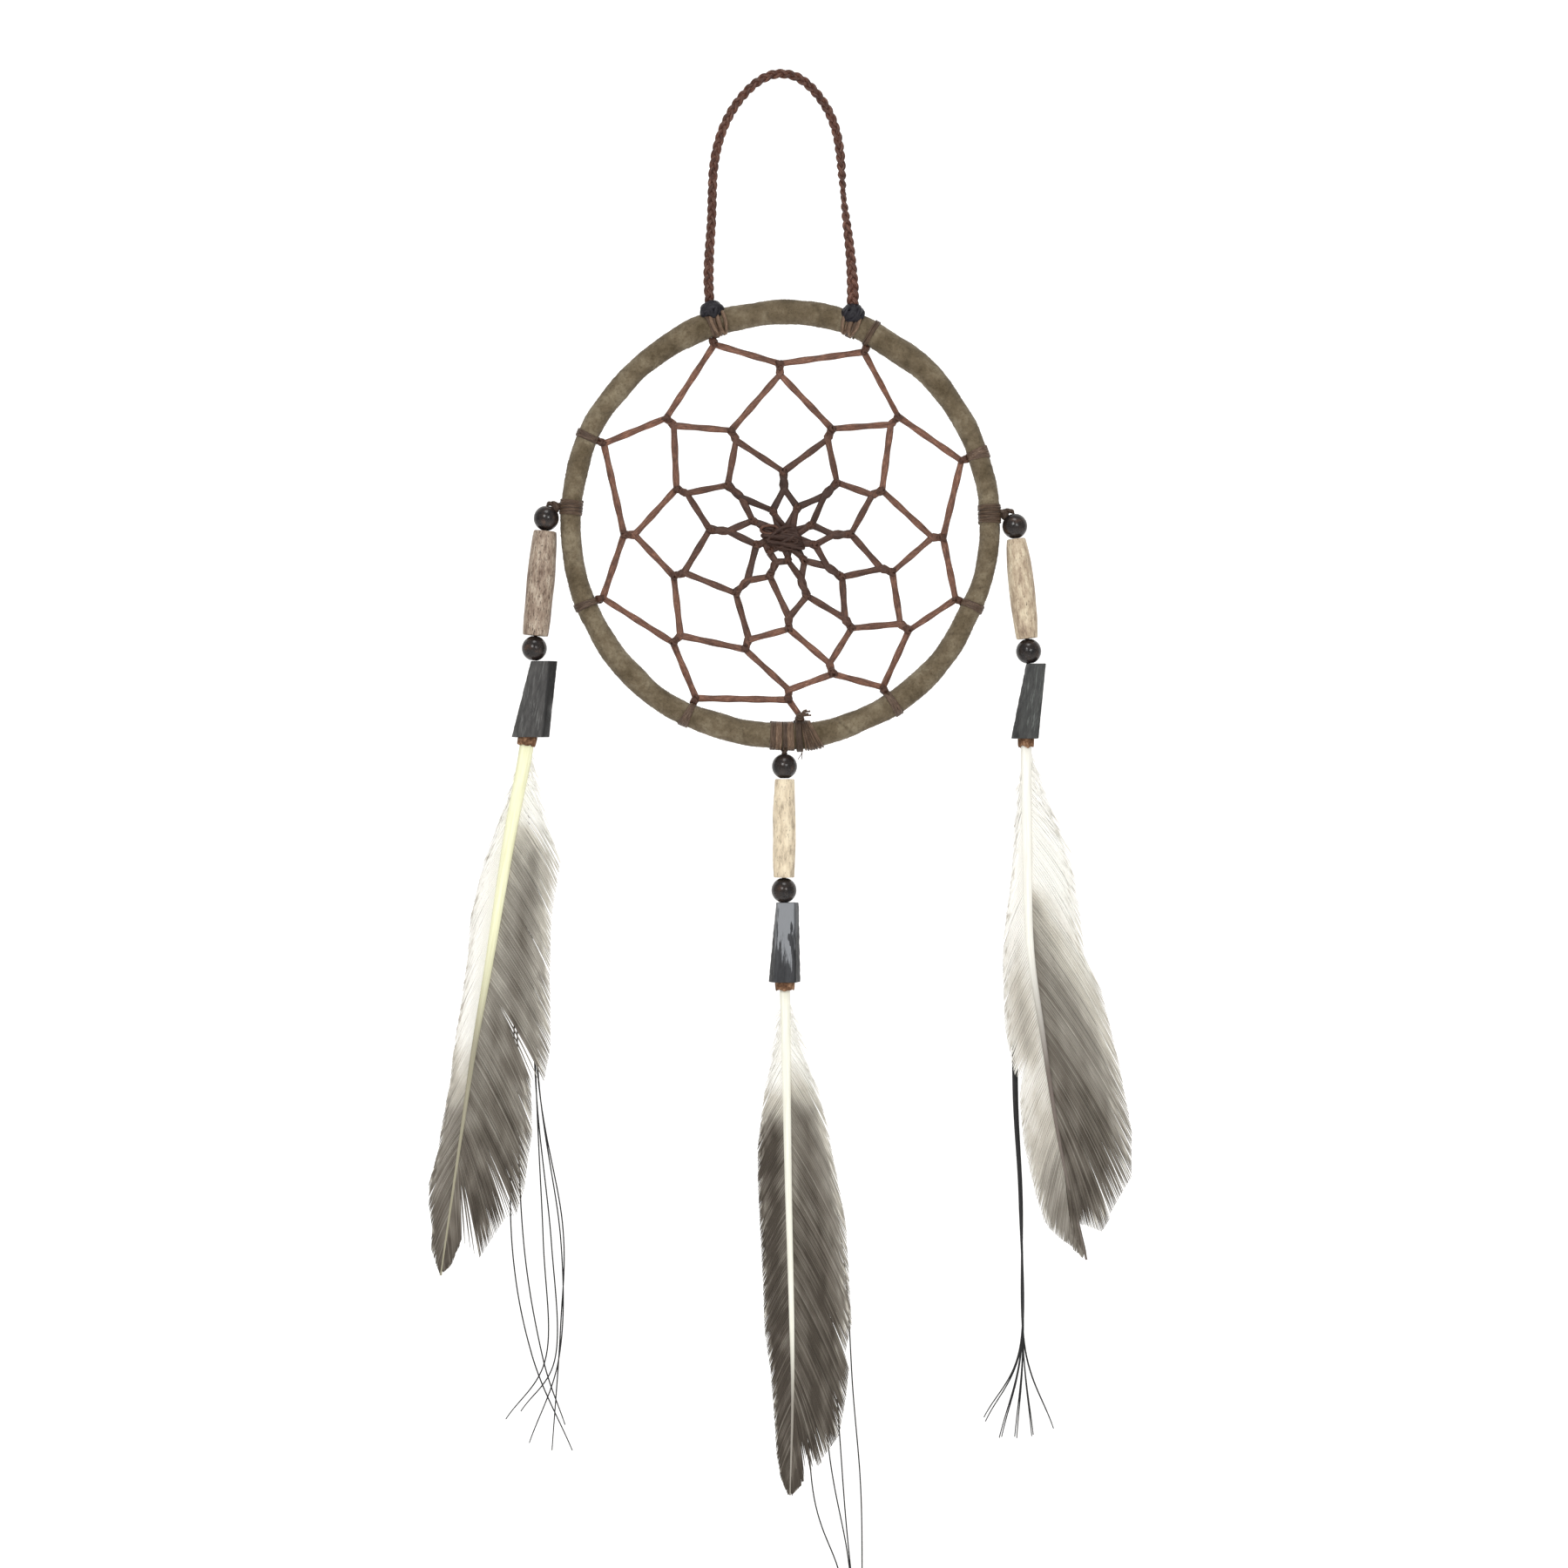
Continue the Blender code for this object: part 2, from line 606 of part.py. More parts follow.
def make_stack(side, spec, loop, strand):
    """Two round beads with the hairpipe between them, each free to turn on the cord."""
    upper, lower = (at(*place) for place in spec["beads"])
    down = (lower - upper).normalized()
    reach = (BEAD_RADIUS + STACK_GAP) * MM
    length = (lower - upper).length - 2 * reach
    for part, place, pivot in (("bead_upper", upper, loop), ("bead_lower", lower, strand)):
        bead = add_turned(f"{side}_{part}", bead_profile(), BEAD, steps=14)
        stand(bead, place, down, pivot)
    pipe = add_turned(f"{side}_hairpipe", pipe_profile(length / MM), BONE)
    stand(pipe, (upper + lower) / 2, down, strand)
    points = [upper + down * reach, lower, lower + down * (BEAD_RADIUS - BEAD_LIP) * MM]
    add_tube(f"{side}_cord", points, [CORD_RADIUS * MM] * len(points), SINEW, strand)


def tapered_block(name, top, foot, top_outline, foot_outline):
    """A mesh that runs from one level outline to another below it."""
    points = [top + at(x, 0, y) for x, y in top_outline]
    points += [foot + at(x, 0, y) for x, y in foot_outline]
    count = len(top_outline)
    faces = [tuple(range(count)), tuple(range(2 * count - 1, count - 1, -1))]
    faces += [(i, count + i, count + (i + 1) % count, (i + 1) % count) for i in range(count)]
    mesh = bpy.data.meshes.new(name)
    mesh.from_pydata(points, [], faces)
    shape = bmesh.new()
    shape.from_mesh(mesh)
    bmesh.ops.recalc_face_normals(shape, faces=shape.faces)
    shape.to_mesh(mesh)
    shape.free()
    return mesh


def make_horn(side, spec, mouth, down, pivot):
    """A faceted taper of horn, bored from the top for the cord and opened from below for the plug."""
    name = f"{side}_horn"
    top = at(*spec["horn_top"])
    foot = at(*spec["horn_foot"])
    block = tapered_block(name, top, foot, spec["top_outline"], spec["foot_outline"])
    horn = add(name, block, HORN, MODEL, pivot)
    roof = mouth - down * CAVITY_DEPTH * MM
    hollow_radius = (spec["plug_radius"] + GAP) * MM
    cut(horn, rod_cutter(f"{side}_cavity", roof, mouth + down * OVERCUT * MM, hollow_radius))
    hole = at(spec["cord_hole"], spec["horn_top"][1])
    inside = roof + down * OVERCUT * MM
    above = hole - (inside - hole).normalized() * OVERCUT * MM
    cut(horn, rod_cutter(f"{side}_cord_hole", above, inside, BORE_RADIUS * MM, sides=12))

    knot = roof + down * KNOT_DROP * MM
    run = (knot - hole).normalized()
    points = [hole] + [knot + run * along * MM for along, _ in KNOT_STEPS]
    radii = [CORD_RADIUS * MM] + [radius * MM for _, radius in KNOT_STEPS]
    add_tube(f"{side}_cord_knot", points, radii, SINEW, pivot)


def make_plug(side, spec, mouth, down, pivot):
    """A rolled leather sleeve that holds the feather in the horn's hollow."""
    radius = spec["plug_radius"]
    inner = radius - PLUG_WALL
    half = (PLUG_INSIDE + PLUG_OUTSIDE) / 2
    profile = [(radius, half), (radius, -half), (inner, -half), (inner, half)]
    plug = add_turned(f"{side}_plug", profile, LEATHER)
    stand(plug, mouth + down * (PLUG_OUTSIDE - half) * MM, down, pivot)


def shaft_at(points, radii, z):
    """The shaft's x and radius at a height, between its points."""
    for i in range(len(points) - 1):
        above, below = points[i], points[i + 1]
        if above.z >= z >= below.z:
            t = (above.z - z) / (above.z - below.z)
            return above.x + t * (below.x - above.x), radii[i] + t * (radii[i + 1] - radii[i])
    return points[-1].x, radii[-1]


def make_feather(side, spec, mouth, down, pivot):
    """The shaft, from inside the plug, and a vane on each side of it."""
    bore = spec["plug_radius"] - PLUG_WALL
    base_radius = min(spec["shaft_radii"][0], bore - GAP) * MM
    inside = mouth - down * (PLUG_INSIDE - SHAFT_STOP) * MM
    outside = mouth + down * (PLUG_OUTSIDE + SHAFT_STRAIGHT) * MM
    route = [inside, outside, *(at(*place) for place in spec["shaft"])]
    radii = [SHAFT_NARROWING * base_radius, base_radius, *(r * MM for r in spec["shaft_radii"])]
    add_tube(f"{side}_shaft", route, radii, QUILL, pivot)
    for name, sign in (("vane_left", -1), ("vane_right", 1)):
        inner, outer = [], []
        for z, width in spec[name]:
            x, radius = shaft_at(route, radii, z * MM)
            inner.append((x + sign * (radius + VANE_GAP * MM), z * MM))
            outer.append((x + sign * max(width * MM, radius + VANE_LEAST * MM), z * MM))
        # Bends of the shaft between stations would otherwise cross the straight inner edge.
        for point, radius in zip(route[2:-1], radii[2:-1]):
            if inner[0][1] > point.z > inner[-1][1]:
                inner.append((point.x + sign * (radius + VANE_GAP * MM), point.z))
        inner.sort(key=lambda spot: -spot[1])
        add_outline(f"{side}_{name}", outer + inner[::-1], VANE_THICKNESS * MM, FEATHER, pivot)


def add_outline(name, outline, thickness, look, pivot):
    """A flat plate in the hoop's plane, from its outline in x and z."""
    data = bpy.data.curves.new(name, "CURVE")
    data.dimensions = "2D"
    data.fill_mode = "BOTH"
    data.extrude = thickness / 2
    spline = data.splines.new("POLY")
    spline.points.add(len(outline) - 1)
    for spot, (x, z) in zip(spline.points, outline):
        spot.co = (x, z, 0.0, 1.0)
    spline.use_cyclic_u = True
    obj = add(name, data, look, MODEL)
    obj.rotation_euler = (math.radians(90), 0, 0)
    follow(obj, pivot)


def make_hair(side, spec, mouth, down, pivot):
    """A lock of horsehair: a bound root behind the quill, with hairs that run down behind the vanes."""
    behind = spec["plug_radius"] - PLUG_WALL + LOCK_BEHIND
    root_top = mouth + down * (PLUG_OUTSIDE + LOCK_BELOW) * MM + at(0, 0, behind)
    root_middle = root_top - at(0, LOCK_LENGTH / 2)
    mesh = bpy.data.meshes.new(f"{side}_hair")
    shape = bmesh.new()
    foot_radius, top_radius = LOCK_RADII
    bmesh.ops.create_cone(
        shape,
        cap_ends=True,
        segments=10,
        radius1=foot_radius * MM,
        radius2=top_radius * MM,
        depth=LOCK_LENGTH * MM,
        matrix=Matrix.Translation(root_middle),
    )
    shape.to_mesh(mesh)
    shape.free()
    lock = add(f"{side}_hair", mesh, HAIR, MODEL, pivot)
    count = len(spec["hairs"])
    for number, hair in enumerate(spec["hairs"]):
        angle = 2 * math.pi * number / count
        start = root_middle + Vector((math.cos(angle), math.sin(angle), 0)) * HAIR_CIRCLE * MM
        below = start - at(0, LOCK_LENGTH / 2 + HAIR_STRAIGHT)
        depth = HAIR_FRONT + HAIR_PITCH * number
        run = [start, below, *(at(x, z, depth) for x, z in hair)]
        points = smooth_route(run, HAIR_POINTS)
        data = tube_data("hair", points, [HAIR_RADIUS * MM] * HAIR_POINTS, HAIR_SIDES)
        guide = add(f"{side}_hair_guide_{number}", data, None, CUTTERS)
        cut(lock, cutter(f"{side}_hair_{number}", mesh_of(guide)), "UNION")


def make_pendant(side, spec, hoop_pivot):
    degrees, length = spec["binding"]
    ridges = max(3, round(length / RIDGE_PITCH))
    make_sleeve(f"binding_{side}", degrees, length, BINDING_WALL, SINEW, hoop_pivot, ridges)
    loop = add_pivot(f"{side}_sway_pivot", at(*spec["tie"]), hoop_pivot)
    strand = add_pivot(f"{side}_swing_pivot", at(*spec["beads"][0]), loop)
    feather = add_pivot(f"{side}_feather_pivot", at(*spec["beads"][1]), strand)
    make_tie(f"{side}_tie", spec, loop)
    make_stack(side, spec, loop, strand)
    place, direction = spec["plug"]
    mouth = at(*place)
    down = at(*direction).normalized()
    make_horn(side, spec, mouth, down, feather)
    make_plug(side, spec, mouth, down, feather)
    make_feather(side, spec, mouth, down, feather)
    make_hair(side, spec, mouth, down, feather)


clear_scene()
MODEL = make_collection("dream_catcher")
CUTTERS = make_collection("cutters", hidden=True)
fold_middle = (at(*KNOTS["left"][0], BRAID_SWING) + at(*KNOTS["right"][0], BRAID_SWING)) / 2
hoop_body = add_pivot("fold_pivot", fold_middle)
make_braid()
make_core(hoop_body)
make_wrap(hoop_body)
make_net(hoop_body)
make_hanger_knots(hoop_body)
for pendant, parts in PENDANTS.items():
    make_pendant(pendant, parts, hoop_body)
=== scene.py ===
"""Looks for the dream catcher: suede hoop, sinew net, braided loop, beads, bone, horn, feathers and
horsehair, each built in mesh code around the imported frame. Metres; the front faces -Y."""

import math
import random

import bpy
import numpy as np
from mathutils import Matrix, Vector, noise


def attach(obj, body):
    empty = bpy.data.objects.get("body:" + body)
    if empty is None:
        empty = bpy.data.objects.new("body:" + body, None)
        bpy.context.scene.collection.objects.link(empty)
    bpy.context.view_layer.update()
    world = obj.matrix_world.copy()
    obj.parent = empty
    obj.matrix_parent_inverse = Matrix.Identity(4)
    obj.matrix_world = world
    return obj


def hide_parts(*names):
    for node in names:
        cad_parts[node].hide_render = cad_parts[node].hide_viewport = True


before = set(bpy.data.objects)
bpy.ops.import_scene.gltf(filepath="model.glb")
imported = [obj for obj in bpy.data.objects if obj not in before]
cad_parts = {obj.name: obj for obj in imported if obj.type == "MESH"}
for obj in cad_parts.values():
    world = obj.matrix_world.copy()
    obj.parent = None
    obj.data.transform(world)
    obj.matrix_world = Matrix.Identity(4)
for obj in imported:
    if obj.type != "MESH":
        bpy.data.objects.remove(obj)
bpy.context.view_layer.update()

MM = 0.001
FRONT = np.array((0.0, -1.0, 0.0))

# The frame's own measures, repeated in millimetres.
HOOP_CENTRE = np.array((0.0, 0.0, -153.3))
HOOP_ACROSS, HOOP_TALL = 72.2, 73.0
TUBE_SIDE, TUBE_END = 3.55, 4.35
NET_CENTRE = np.array((1.95, 0.0, -157.8))
# Where the net hangs on the hoop, in degrees round it, and then its hitches, a row at a time
# from the outside in, each by its distance and its direction from the net's middle.
ANCHORS = (-84.3, -116.2, -157.8, 155.6, 110.3, 63.8, 19.2, -22.8, -57.5)
HITCH_ROWS = (
    (
        (55.9, -89), (53.1, -137), (55.7, 179), (58.2, 135), (59.9, 92),
        (56.9, 47), (54.2, 0), (53.1, -37), (49.7, -71),
    ),
    (
        (41.0, -110), (40.8, -161), (41.2, 156), (41.4, 117), (40.7, 67),
        (36.9, 26), (38.6, -18), (38.6, -54), (31.5, -88),
    ),
    (
        (25.8, -132), (26.3, 174), (26.9, 138), (22.7, 92), (25.9, 47),
        (22.5, 3), (23.7, -35), (21.4, -70), (14.5, -112),
    ),
    (
        (10.4, -166), (12.8, 153), (10.3, 116), (11.2, 69), (10.0, 26),
        (10.5, -14), (10.3, -51), (8.2, -84), (7.6, -138),
    ),
)
BRAID_ROUTE = (
    (-24.0, -77.4), (-24.3, -75.8), (-24.6, -68.5), (-24.3, -59.6), (-23.6, -49.2), (-23.3, -38.9),
    (-22.9, -31.0), (-21.5, -23.0), (-18.9, -15.4), (-14.8, -8.2), (-9.4, -2.2), (-4.3, 1.0),
    (0.6, 1.9), (6.1, 0.6), (11.4, -3.6), (16.2, -10.2), (19.1, -17.4), (20.6, -25.1),
    (21.3, -33.4), (21.9, -41.7), (22.9, -49.9), (23.9, -57.8), (24.6, -65.6), (25.0, -72.2),
    (25.0, -76.2), (25.0, -78.0),
)
BRAID_SWING = -2.2
BEAD_RADIUS = 4.35
BORE_RADIUS = 1.05
STACK_REACH = 4.4  # from a bead's middle to the hairpipe's end
HAIRPIPE_SIDES = 48
BORE_SHADE = 0.9

PENDANTS = {
    "left": {
        "tie": (-77.1, -146.2),
        "beads": ((-80.5, -151.2), (-84.6, -196.0)),
        "horn_top": (-81.15, -200.4),
        "horn_foot": (-85.8, -226.6),
        "top_outline": ((-4.5, -3.1), (2.1, -3.3), (4.5, -1.0), (4.2, 2.4), (2.4, 3.2), (-3.9, 3.1)),
        "foot_outline": ((-6.4, -4.4), (4.9, -4.6), (6.4, -1.5), (6.0, 3.6), (3.5, 4.6), (-5.6, 4.4)),
        "plug": ((-86.9, -226.6), (-0.16, -0.987), 3.2),
        "shaft": ((-87.4, -230.5), (-88.9, -239.0), (-92.8, -259.0), (-100.2, -304.3), (-105.4, -334.2),
                  (-109.8, -363.5), (-116.9, -411.9)),
        "radii": (2.45, 2.35, 2.2, 1.45, 1.0, 0.65, 0.4),
        "quill_fade": (0.45, 0.66, 0.72),  # where along it the quill turns brown, and how dark
        "pipe": (3.85, 4.85, 4.3),
        # Painted shade on each face of the horn, from the front face round.
        "facet_shade": (0.0, 0.85, 0.5, 0.4, 0.4, 0.4),
        # Barbs by the height of their root: how far out they reach, and how far they fall.
        "barbs": {
            -1: ((-236, 2.6, 4), (-243, 4.3, 8), (-256, 10.5, 17), (-271, 11.9, 19), (-283, 10.8, 20),
                 (-318, 10.0, 18), (-328, 9.0, 16), (-350, 9.8, 18), (-362, 11.3, 19), (-369, 10.3, 19),
                 (-379, 7.7, 17), (-388, 6.7, 15), (-405, 1.5, 6), (-410, 0.7, 1)),
            1: ((-232, 2.8, 4), (-238, 5.5, 9), (-247, 15.0, 23), (-266, 15.2, 24), (-281, 17.2, 28),
                (-300, 20.5, 33), (-312, 20.3, 33), (-313, 15.9, 32), (-326, 18.7, 36.7),
                (-345, 19.1, 37), (-354, 17.5, 37), (-356, 14.2, 36), (-372, 7.5, 34),
                (-373.5, 1.6, 26), (-395, 1.4, 13), (-410, 0.7, 1)),
        },
        # Darkness at heights, each at the shaft, half way out and at the edge.
        "tones": {
            -1: ((-233, 0, 0, 0), (-270, 0, 0.01, 0.04), (-330, 0, 0.03, 0.08), (-345, 0.25, 0.2, 0.3),
                 (-358, 0.5, 0.45, 0.5), (-380, 0.66, 0.6, 0.65), (-412, 0.85, 0.85, 0.85)),
            1: ((-236, 0, 0, 0), (-254, 0.1, 0.02, 0), (-266, 0.35, 0.4, 0.03),
                (-290, 0.32, 0.62, 0.14), (-320, 0.36, 0.64, 0.3), (-345, 0.55, 0.66, 0.45),
                (-362, 0.62, 0.72, 0.6), (-385, 0.72, 0.85, 0.75), (-412, 0.8, 0.9, 0.85)),
        },
        "hairs": (
            ((-86.0, -270), (-84.0, -345), (-81.5, -400), (-80.5, -440), (-94.3, -463)),
            ((-86.4, -270), (-84.4, -345), (-79.0, -400), (-77.5, -440), (-89.5, -460)),
            ((-86.8, -270), (-83.6, -345), (-76.0, -400), (-76.5, -440), (-87.1, -470)),
            ((-87.2, -270), (-83.2, -345), (-74.8, -395), (-75.5, -430), (-78.3, -472)),
            ((-90.0, -270), (-90.5, -345), (-88.5, -400), (-82.0, -440), (-74.0, -464)),
            ((-90.5, -270), (-92.5, -345), (-93.0, -400), (-86.0, -440), (-72.2, -472)),
        ),
        "spread": 0.5,
    },
    "right": {
        "tie": (77.1, -148.6),
        "beads": ((80.8, -153.9), (85.6, -197.0)),
        "horn_top": (88.05, -201.25),
        "horn_foot": (84.2, -227.1),
        "top_outline": ((-2.7, -3.1), (3.3, -3.0), (3.1, 2.6), (1.4, 3.2), (-2.4, 3.1), (-3.3, 0.1)),
        "foot_outline": ((-2.6, -4.4), (4.6, -4.3), (4.3, 3.6), (1.8, 4.5), (-3.0, 4.4), (-4.7, 0.1)),
        "plug": ((84.8, -227.1), (0.01, -1.0), 2.8),
        "shaft": ((84.8, -231.0), (84.75, -239.0), (85.0, -262.0), (86.1, -298.2), (90.6, -330.0),
                  (96.6, -368.0), (105.5, -406.5)),
        "radii": (1.9, 1.85, 1.8, 1.35, 0.95, 0.65, 0.4),
        "quill_fade": (0.5, 0.72, 0.95),
        "pipe": (3.2, 4.45, 3.7),
        # Painted shade on each face of the horn, from the front face round.
        "facet_shade": (0.0, 0.4, 0.4, 0.4, 0.4, 0.93),
        "barbs": {
            -1: ((-235, 2.2, 4), (-262, 5.5, 14), (-280, 8.5, 18), (-296, 9.0, 18.7), (-309, 9.7, 19),
                 (-325, 9.0, 18), (-327, 6.7, 18), (-332, 8.5, 18.7), (-345, 9.1, 20.7),
                 (-362, 7.2, 23), (-370, 5.7, 24), (-380, 2.8, 19), (-390, 1.3, 12), (-404, 0.7, 2)),
            1: ((-231, 2.2, 4), (-237, 6.0, 9), (-250, 15.5, 18), (-262, 18.5, 27), (-270, 19.7, 32.7),
                (-277, 25.5, 37.7), (-291, 31.0, 47.7), (-301, 32.5, 49.7), (-311, 33.5, 51.7),
                (-326, 31.0, 51.7), (-338, 25.0, 47), (-355, 16.4, 41.4), (-362, 9.3, 33),
                (-368, 4.9, 27), (-369.5, 3.2, 27.5), (-385, 2.6, 16), (-403, 0.8, 3)),
        },
        "tones": {
            -1: ((-235, 0, 0, 0), (-290, 0, 0.02, 0.02), (-300, 0.02, 0.1, 0.05),
                 (-318, 0.1, 0.28, 0.08), (-332, 0.12, 0.28, 0.06), (-345, 0.1, 0.12, 0.04),
                 (-362, 0.25, 0.2, 0.1), (-378, 0.4, 0.4, 0.2), (-406, 0.75, 0.65, 0.5)),
            1: ((-233, 0, 0, 0), (-276, 0.02, 0, 0), (-286, 0.45, 0.1, 0.03), (-305, 0.6, 0.3, 0.06),
                (-325, 0.65, 0.5, 0.15), (-345, 0.68, 0.68, 0.22), (-362, 0.72, 0.85, 0.4),
                (-378, 0.8, 0.8, 0.55), (-406, 0.85, 0.8, 0.75)),
        },
        "hairs": (
            ((81.5, -270), (80.4, -342), (82.6, -386), (83.0, -436), (70.6, -461)),
            ((82.0, -270), (80.9, -342), (82.9, -386), (83.4, -436), (76.4, -469)),
            ((82.5, -270), (81.2, -342), (83.1, -386), (83.8, -436), (81.0, -468)),
            ((83.0, -270), (81.5, -342), (83.4, -386), (84.0, -436), (87.0, -467)),
            ((83.5, -270), (81.9, -342), (83.6, -386), (84.4, -436), (94.7, -465)),
        ),
        "spread": 0.28,
    },
    "bottom": {
        "tie": (1.5, -231.8),
        "beads": ((1.5, -236.6), (1.35, -279.3)),
        "horn_top": (2.55, -283.5),
        "horn_foot": (1.5, -310.9),
        "top_outline": ((-3.3, -3.1), (2.7, -3.2), (3.9, 0.2), (2.6, 3.1), (-2.8, 3.1), (-3.9, 0.0)),
        "foot_outline": ((-3.7, -4.5), (4.0, -4.6), (5.5, 0.3), (3.6, 4.5), (-3.6, 4.5), (-5.5, -0.2)),
        "plug": ((1.65, -310.9), (0.01, -1.0), 3.3),
        "shaft": ((1.7, -315.0), (1.9, -325.0), (2.2, -345.0), (2.9, -383.3), (4.0, -427.1),
                  (4.3, -455.0), (3.4, -487.6)),
        "radii": (1.8, 1.7, 1.55, 1.25, 0.95, 0.6, 0.35),
        "quill_fade": (0.68, 0.84, 0.75),
        "pipe": (3.35, 3.95, 3.55),
        # Painted shade on each face of the horn, from the front face round.
        "facet_shade": (0.0, 0.65, 0.4, 0.4, 0.4, 0.65),
        "barbs": {
            -1: ((-320, 2.4, 4), (-329, 5.0, 9), (-339, 8.0, 14), (-351, 10.0, 17), (-362, 10.2, 17),
                 (-385, 9.5, 16.5), (-398, 9.2, 16), (-416, 9.0, 16), (-430, 7.4, 14.5),
                 (-447, 6.3, 14), (-460, 5.5, 13), (-472, 3.6, 10), (-486, 0.7, 1.5)),
            1: ((-318, 2.4, 4), (-325, 6.0, 9), (-330, 8.5, 13), (-334, 12.5, 18), (-350, 18.6, 35),
                (-357, 20.2, 37), (-370, 20.9, 39), (-389, 21.6, 39.6), (-401, 19.1, 37.5),
                (-402, 20.3, 42), (-415, 19.0, 38.5), (-430, 16.2, 37), (-440, 12.8, 31.5),
                (-449, 8.6, 28), (-450.5, 7.4, 24), (-453, 6.2, 27), (-454, 5.0, 18), (-456, 4.6, 19),
                (-457, 3.9, 26), (-470, 2.6, 15), (-486, 0.7, 1.5)),
        },
        "tones": {
            -1: ((-322, 0, 0, 0), (-345, 0, 0.02, 0.05), (-356, 0.1, 0.4, 0.3), (-364, 0.45, 0.95, 0.8),
                 (-400, 0.65, 1.0, 0.9), (-440, 0.8, 1.0, 0.9), (-487, 0.9, 1.0, 0.95)),
            1: ((-321, 0, 0, 0), (-336, 0.02, 0, 0), (-346, 0.2, 0.2, 0.04), (-358, 0.5, 0.65, 0.14),
                (-380, 0.55, 0.85, 0.3), (-400, 0.75, 0.88, 0.35), (-425, 0.75, 0.95, 0.55),
                (-450, 0.85, 1.0, 0.75), (-487, 0.95, 1.0, 0.9)),
        },
        "hairs": (
            ((6.0, -350), (9.0, -420), (11.0, -484), (20.5, -515), (25.2, -541)),
            ((6.5, -350), (12.0, -420), (17.0, -474), (23.5, -510), (26.5, -543)),
            ((7.0, -350), (17.0, -420), (20.5, -467), (23.0, -500), (27.0, -538)),
            ((7.5, -350), (21.0, -400), (25.2, -453), (28.0, -490), (28.3, -540)),
        ),
        "spread": 0.0,
    },
}


# Mesh tools. Places are in millimetres until a piece is made.


def unit(v):
    v = np.asarray(v, float)
    return v / np.maximum(np.linalg.norm(v, axis=-1, keepdims=True), 1e-12)


def at(x, z, y=0.0):
    return np.array((x, y, z), float)


def full_turn(count):
    return np.linspace(0, 2 * math.pi, count, endpoint=False)


def circle(angles, first, second):
    return np.cos(angles)[:, None] * first + np.sin(angles)[:, None] * second


def smooth(points, count):
    """Catmull-Rom through the given points."""
    points = np.asarray(points, float)
    ends = np.vstack([2 * points[0] - points[1], points, 2 * points[-1] - points[-2]])
    spans = len(points) - 1
    along = np.linspace(0, spans, count)
    k = np.minimum(along.astype(int), spans - 1)
    t = (along - k)[:, None]
    a, b, c, d = (ends[k + i] for i in range(4))
    bend = (2 * a - 5 * b + 4 * c - d) * t**2 + (3 * b - a - 3 * c + d) * t**3
    return 0.5 * (2 * b + (c - a) * t + bend)


def resample(path, step):
    path = np.asarray(path, float)
    gaps = np.linalg.norm(np.diff(path, axis=0), axis=1)
    along = np.concatenate([[0], np.cumsum(gaps)])
    count = max(2, int(along[-1] / step) + 1)
    spots = np.linspace(0, along[-1], count)
    return np.stack([np.interp(spots, along, path[:, i]) for i in range(3)], axis=1)


class Strands:
    """Swept strands gathered into one mesh. Each point carries a shade and a grain: millimetres along
    its strand, then its place round the strand, set apart from its neighbours'."""

    def __init__(self):
        self.points, self.faces, self.shade, self.grain = [], [], [], []
        self.count = 0
        self.number = 0

    def add(self, points, faces, shade, grain):
        self.points.append(points)
        self.faces += [tuple(int(i) + self.count for i in face) for face in faces]
        self.shade.append(np.broadcast_to(shade, len(points)))
        self.grain.append(grain)
        self.count += len(points)
        self.number += 1

    def sweep(self, path, across, wide, thick, shade=0.5, sides=8, closed=False):
        """across is the direction of the section's width; wide and thick are half its size."""
        path = np.asarray(path, float)
        n = len(path)
        if closed:
            tangent = np.roll(path, -1, 0) - np.roll(path, 1, 0)
        else:
            tangent = np.gradient(path, axis=0)
        tangent = unit(tangent)
        side = np.broadcast_to(np.asarray(across, float), (n, 3))
        side = unit(side - (side * tangent).sum(1, keepdims=True) * tangent)
        up = np.cross(tangent, side)
        round_angles = np.arange(sides) * 2 * math.pi / sides
        wide = np.broadcast_to(wide, n)[:, None, None]
        thick = np.broadcast_to(thick, n)[:, None, None]
        ring = side[:, None] * np.cos(round_angles)[None, :, None] * wide
        ring = ring + up[:, None] * np.sin(round_angles)[None, :, None] * thick
        points = (path[:, None] + ring).reshape(-1, 3)
        run = np.concatenate([[0], np.cumsum(np.linalg.norm(np.diff(path, axis=0), axis=1))])
        turn = np.tile(np.stack([np.cos(round_angles), np.sin(round_angles)], 1), (n, 1))
        grain = np.stack([np.repeat(run, sides), turn[:, 0] + 5.0 * self.number, turn[:, 1]], 1)
        i, k = np.meshgrid(np.arange(n if closed else n - 1), np.arange(sides), indexing="ij")
        j, l = (i + 1) % n, (k + 1) % sides
        quads = np.stack([i * sides + k, j * sides + k, j * sides + l, i * sides + l], -1)
        faces = quads.reshape(-1, 4).tolist()
        if not closed:
            faces += [tuple(range(sides)), tuple(range(n * sides - 1, (n - 1) * sides - 1, -1))]
        values = np.repeat(np.broadcast_to(shade, n), sides)
        self.add(points, faces, values, grain)

    def piece(self, name, look, body, slot, *nodes):
        return make_piece(
            name, np.vstack(self.points), self.faces, look, body, nodes,
            np.concatenate(self.shade), np.vstack(self.grain),
        )


def new_object(name, data):
    obj = bpy.data.objects.new(name, data)
    bpy.context.scene.collection.objects.link(obj)
    return obj


def make_piece(name, points, faces, look, body, nodes=(), shade=None, grain=None):
    """An object from places in millimetres, its shade and grain kept as attributes of its points."""
    mesh = bpy.data.meshes.new(name)
    mesh.from_pydata((np.asarray(points) * MM).tolist(), [], [tuple(f) for f in faces])
    if shade is not None:
        add_attribute(mesh, "shade", "FLOAT", "value", shade)
    if grain is not None:
        add_attribute(mesh, "grain", "FLOAT_VECTOR", "vector", grain)
    mesh.materials.append(look)
    mesh.shade_smooth()
    obj = new_object(name, mesh)
    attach(obj, body)
    if nodes:
        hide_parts(*nodes)
    return obj


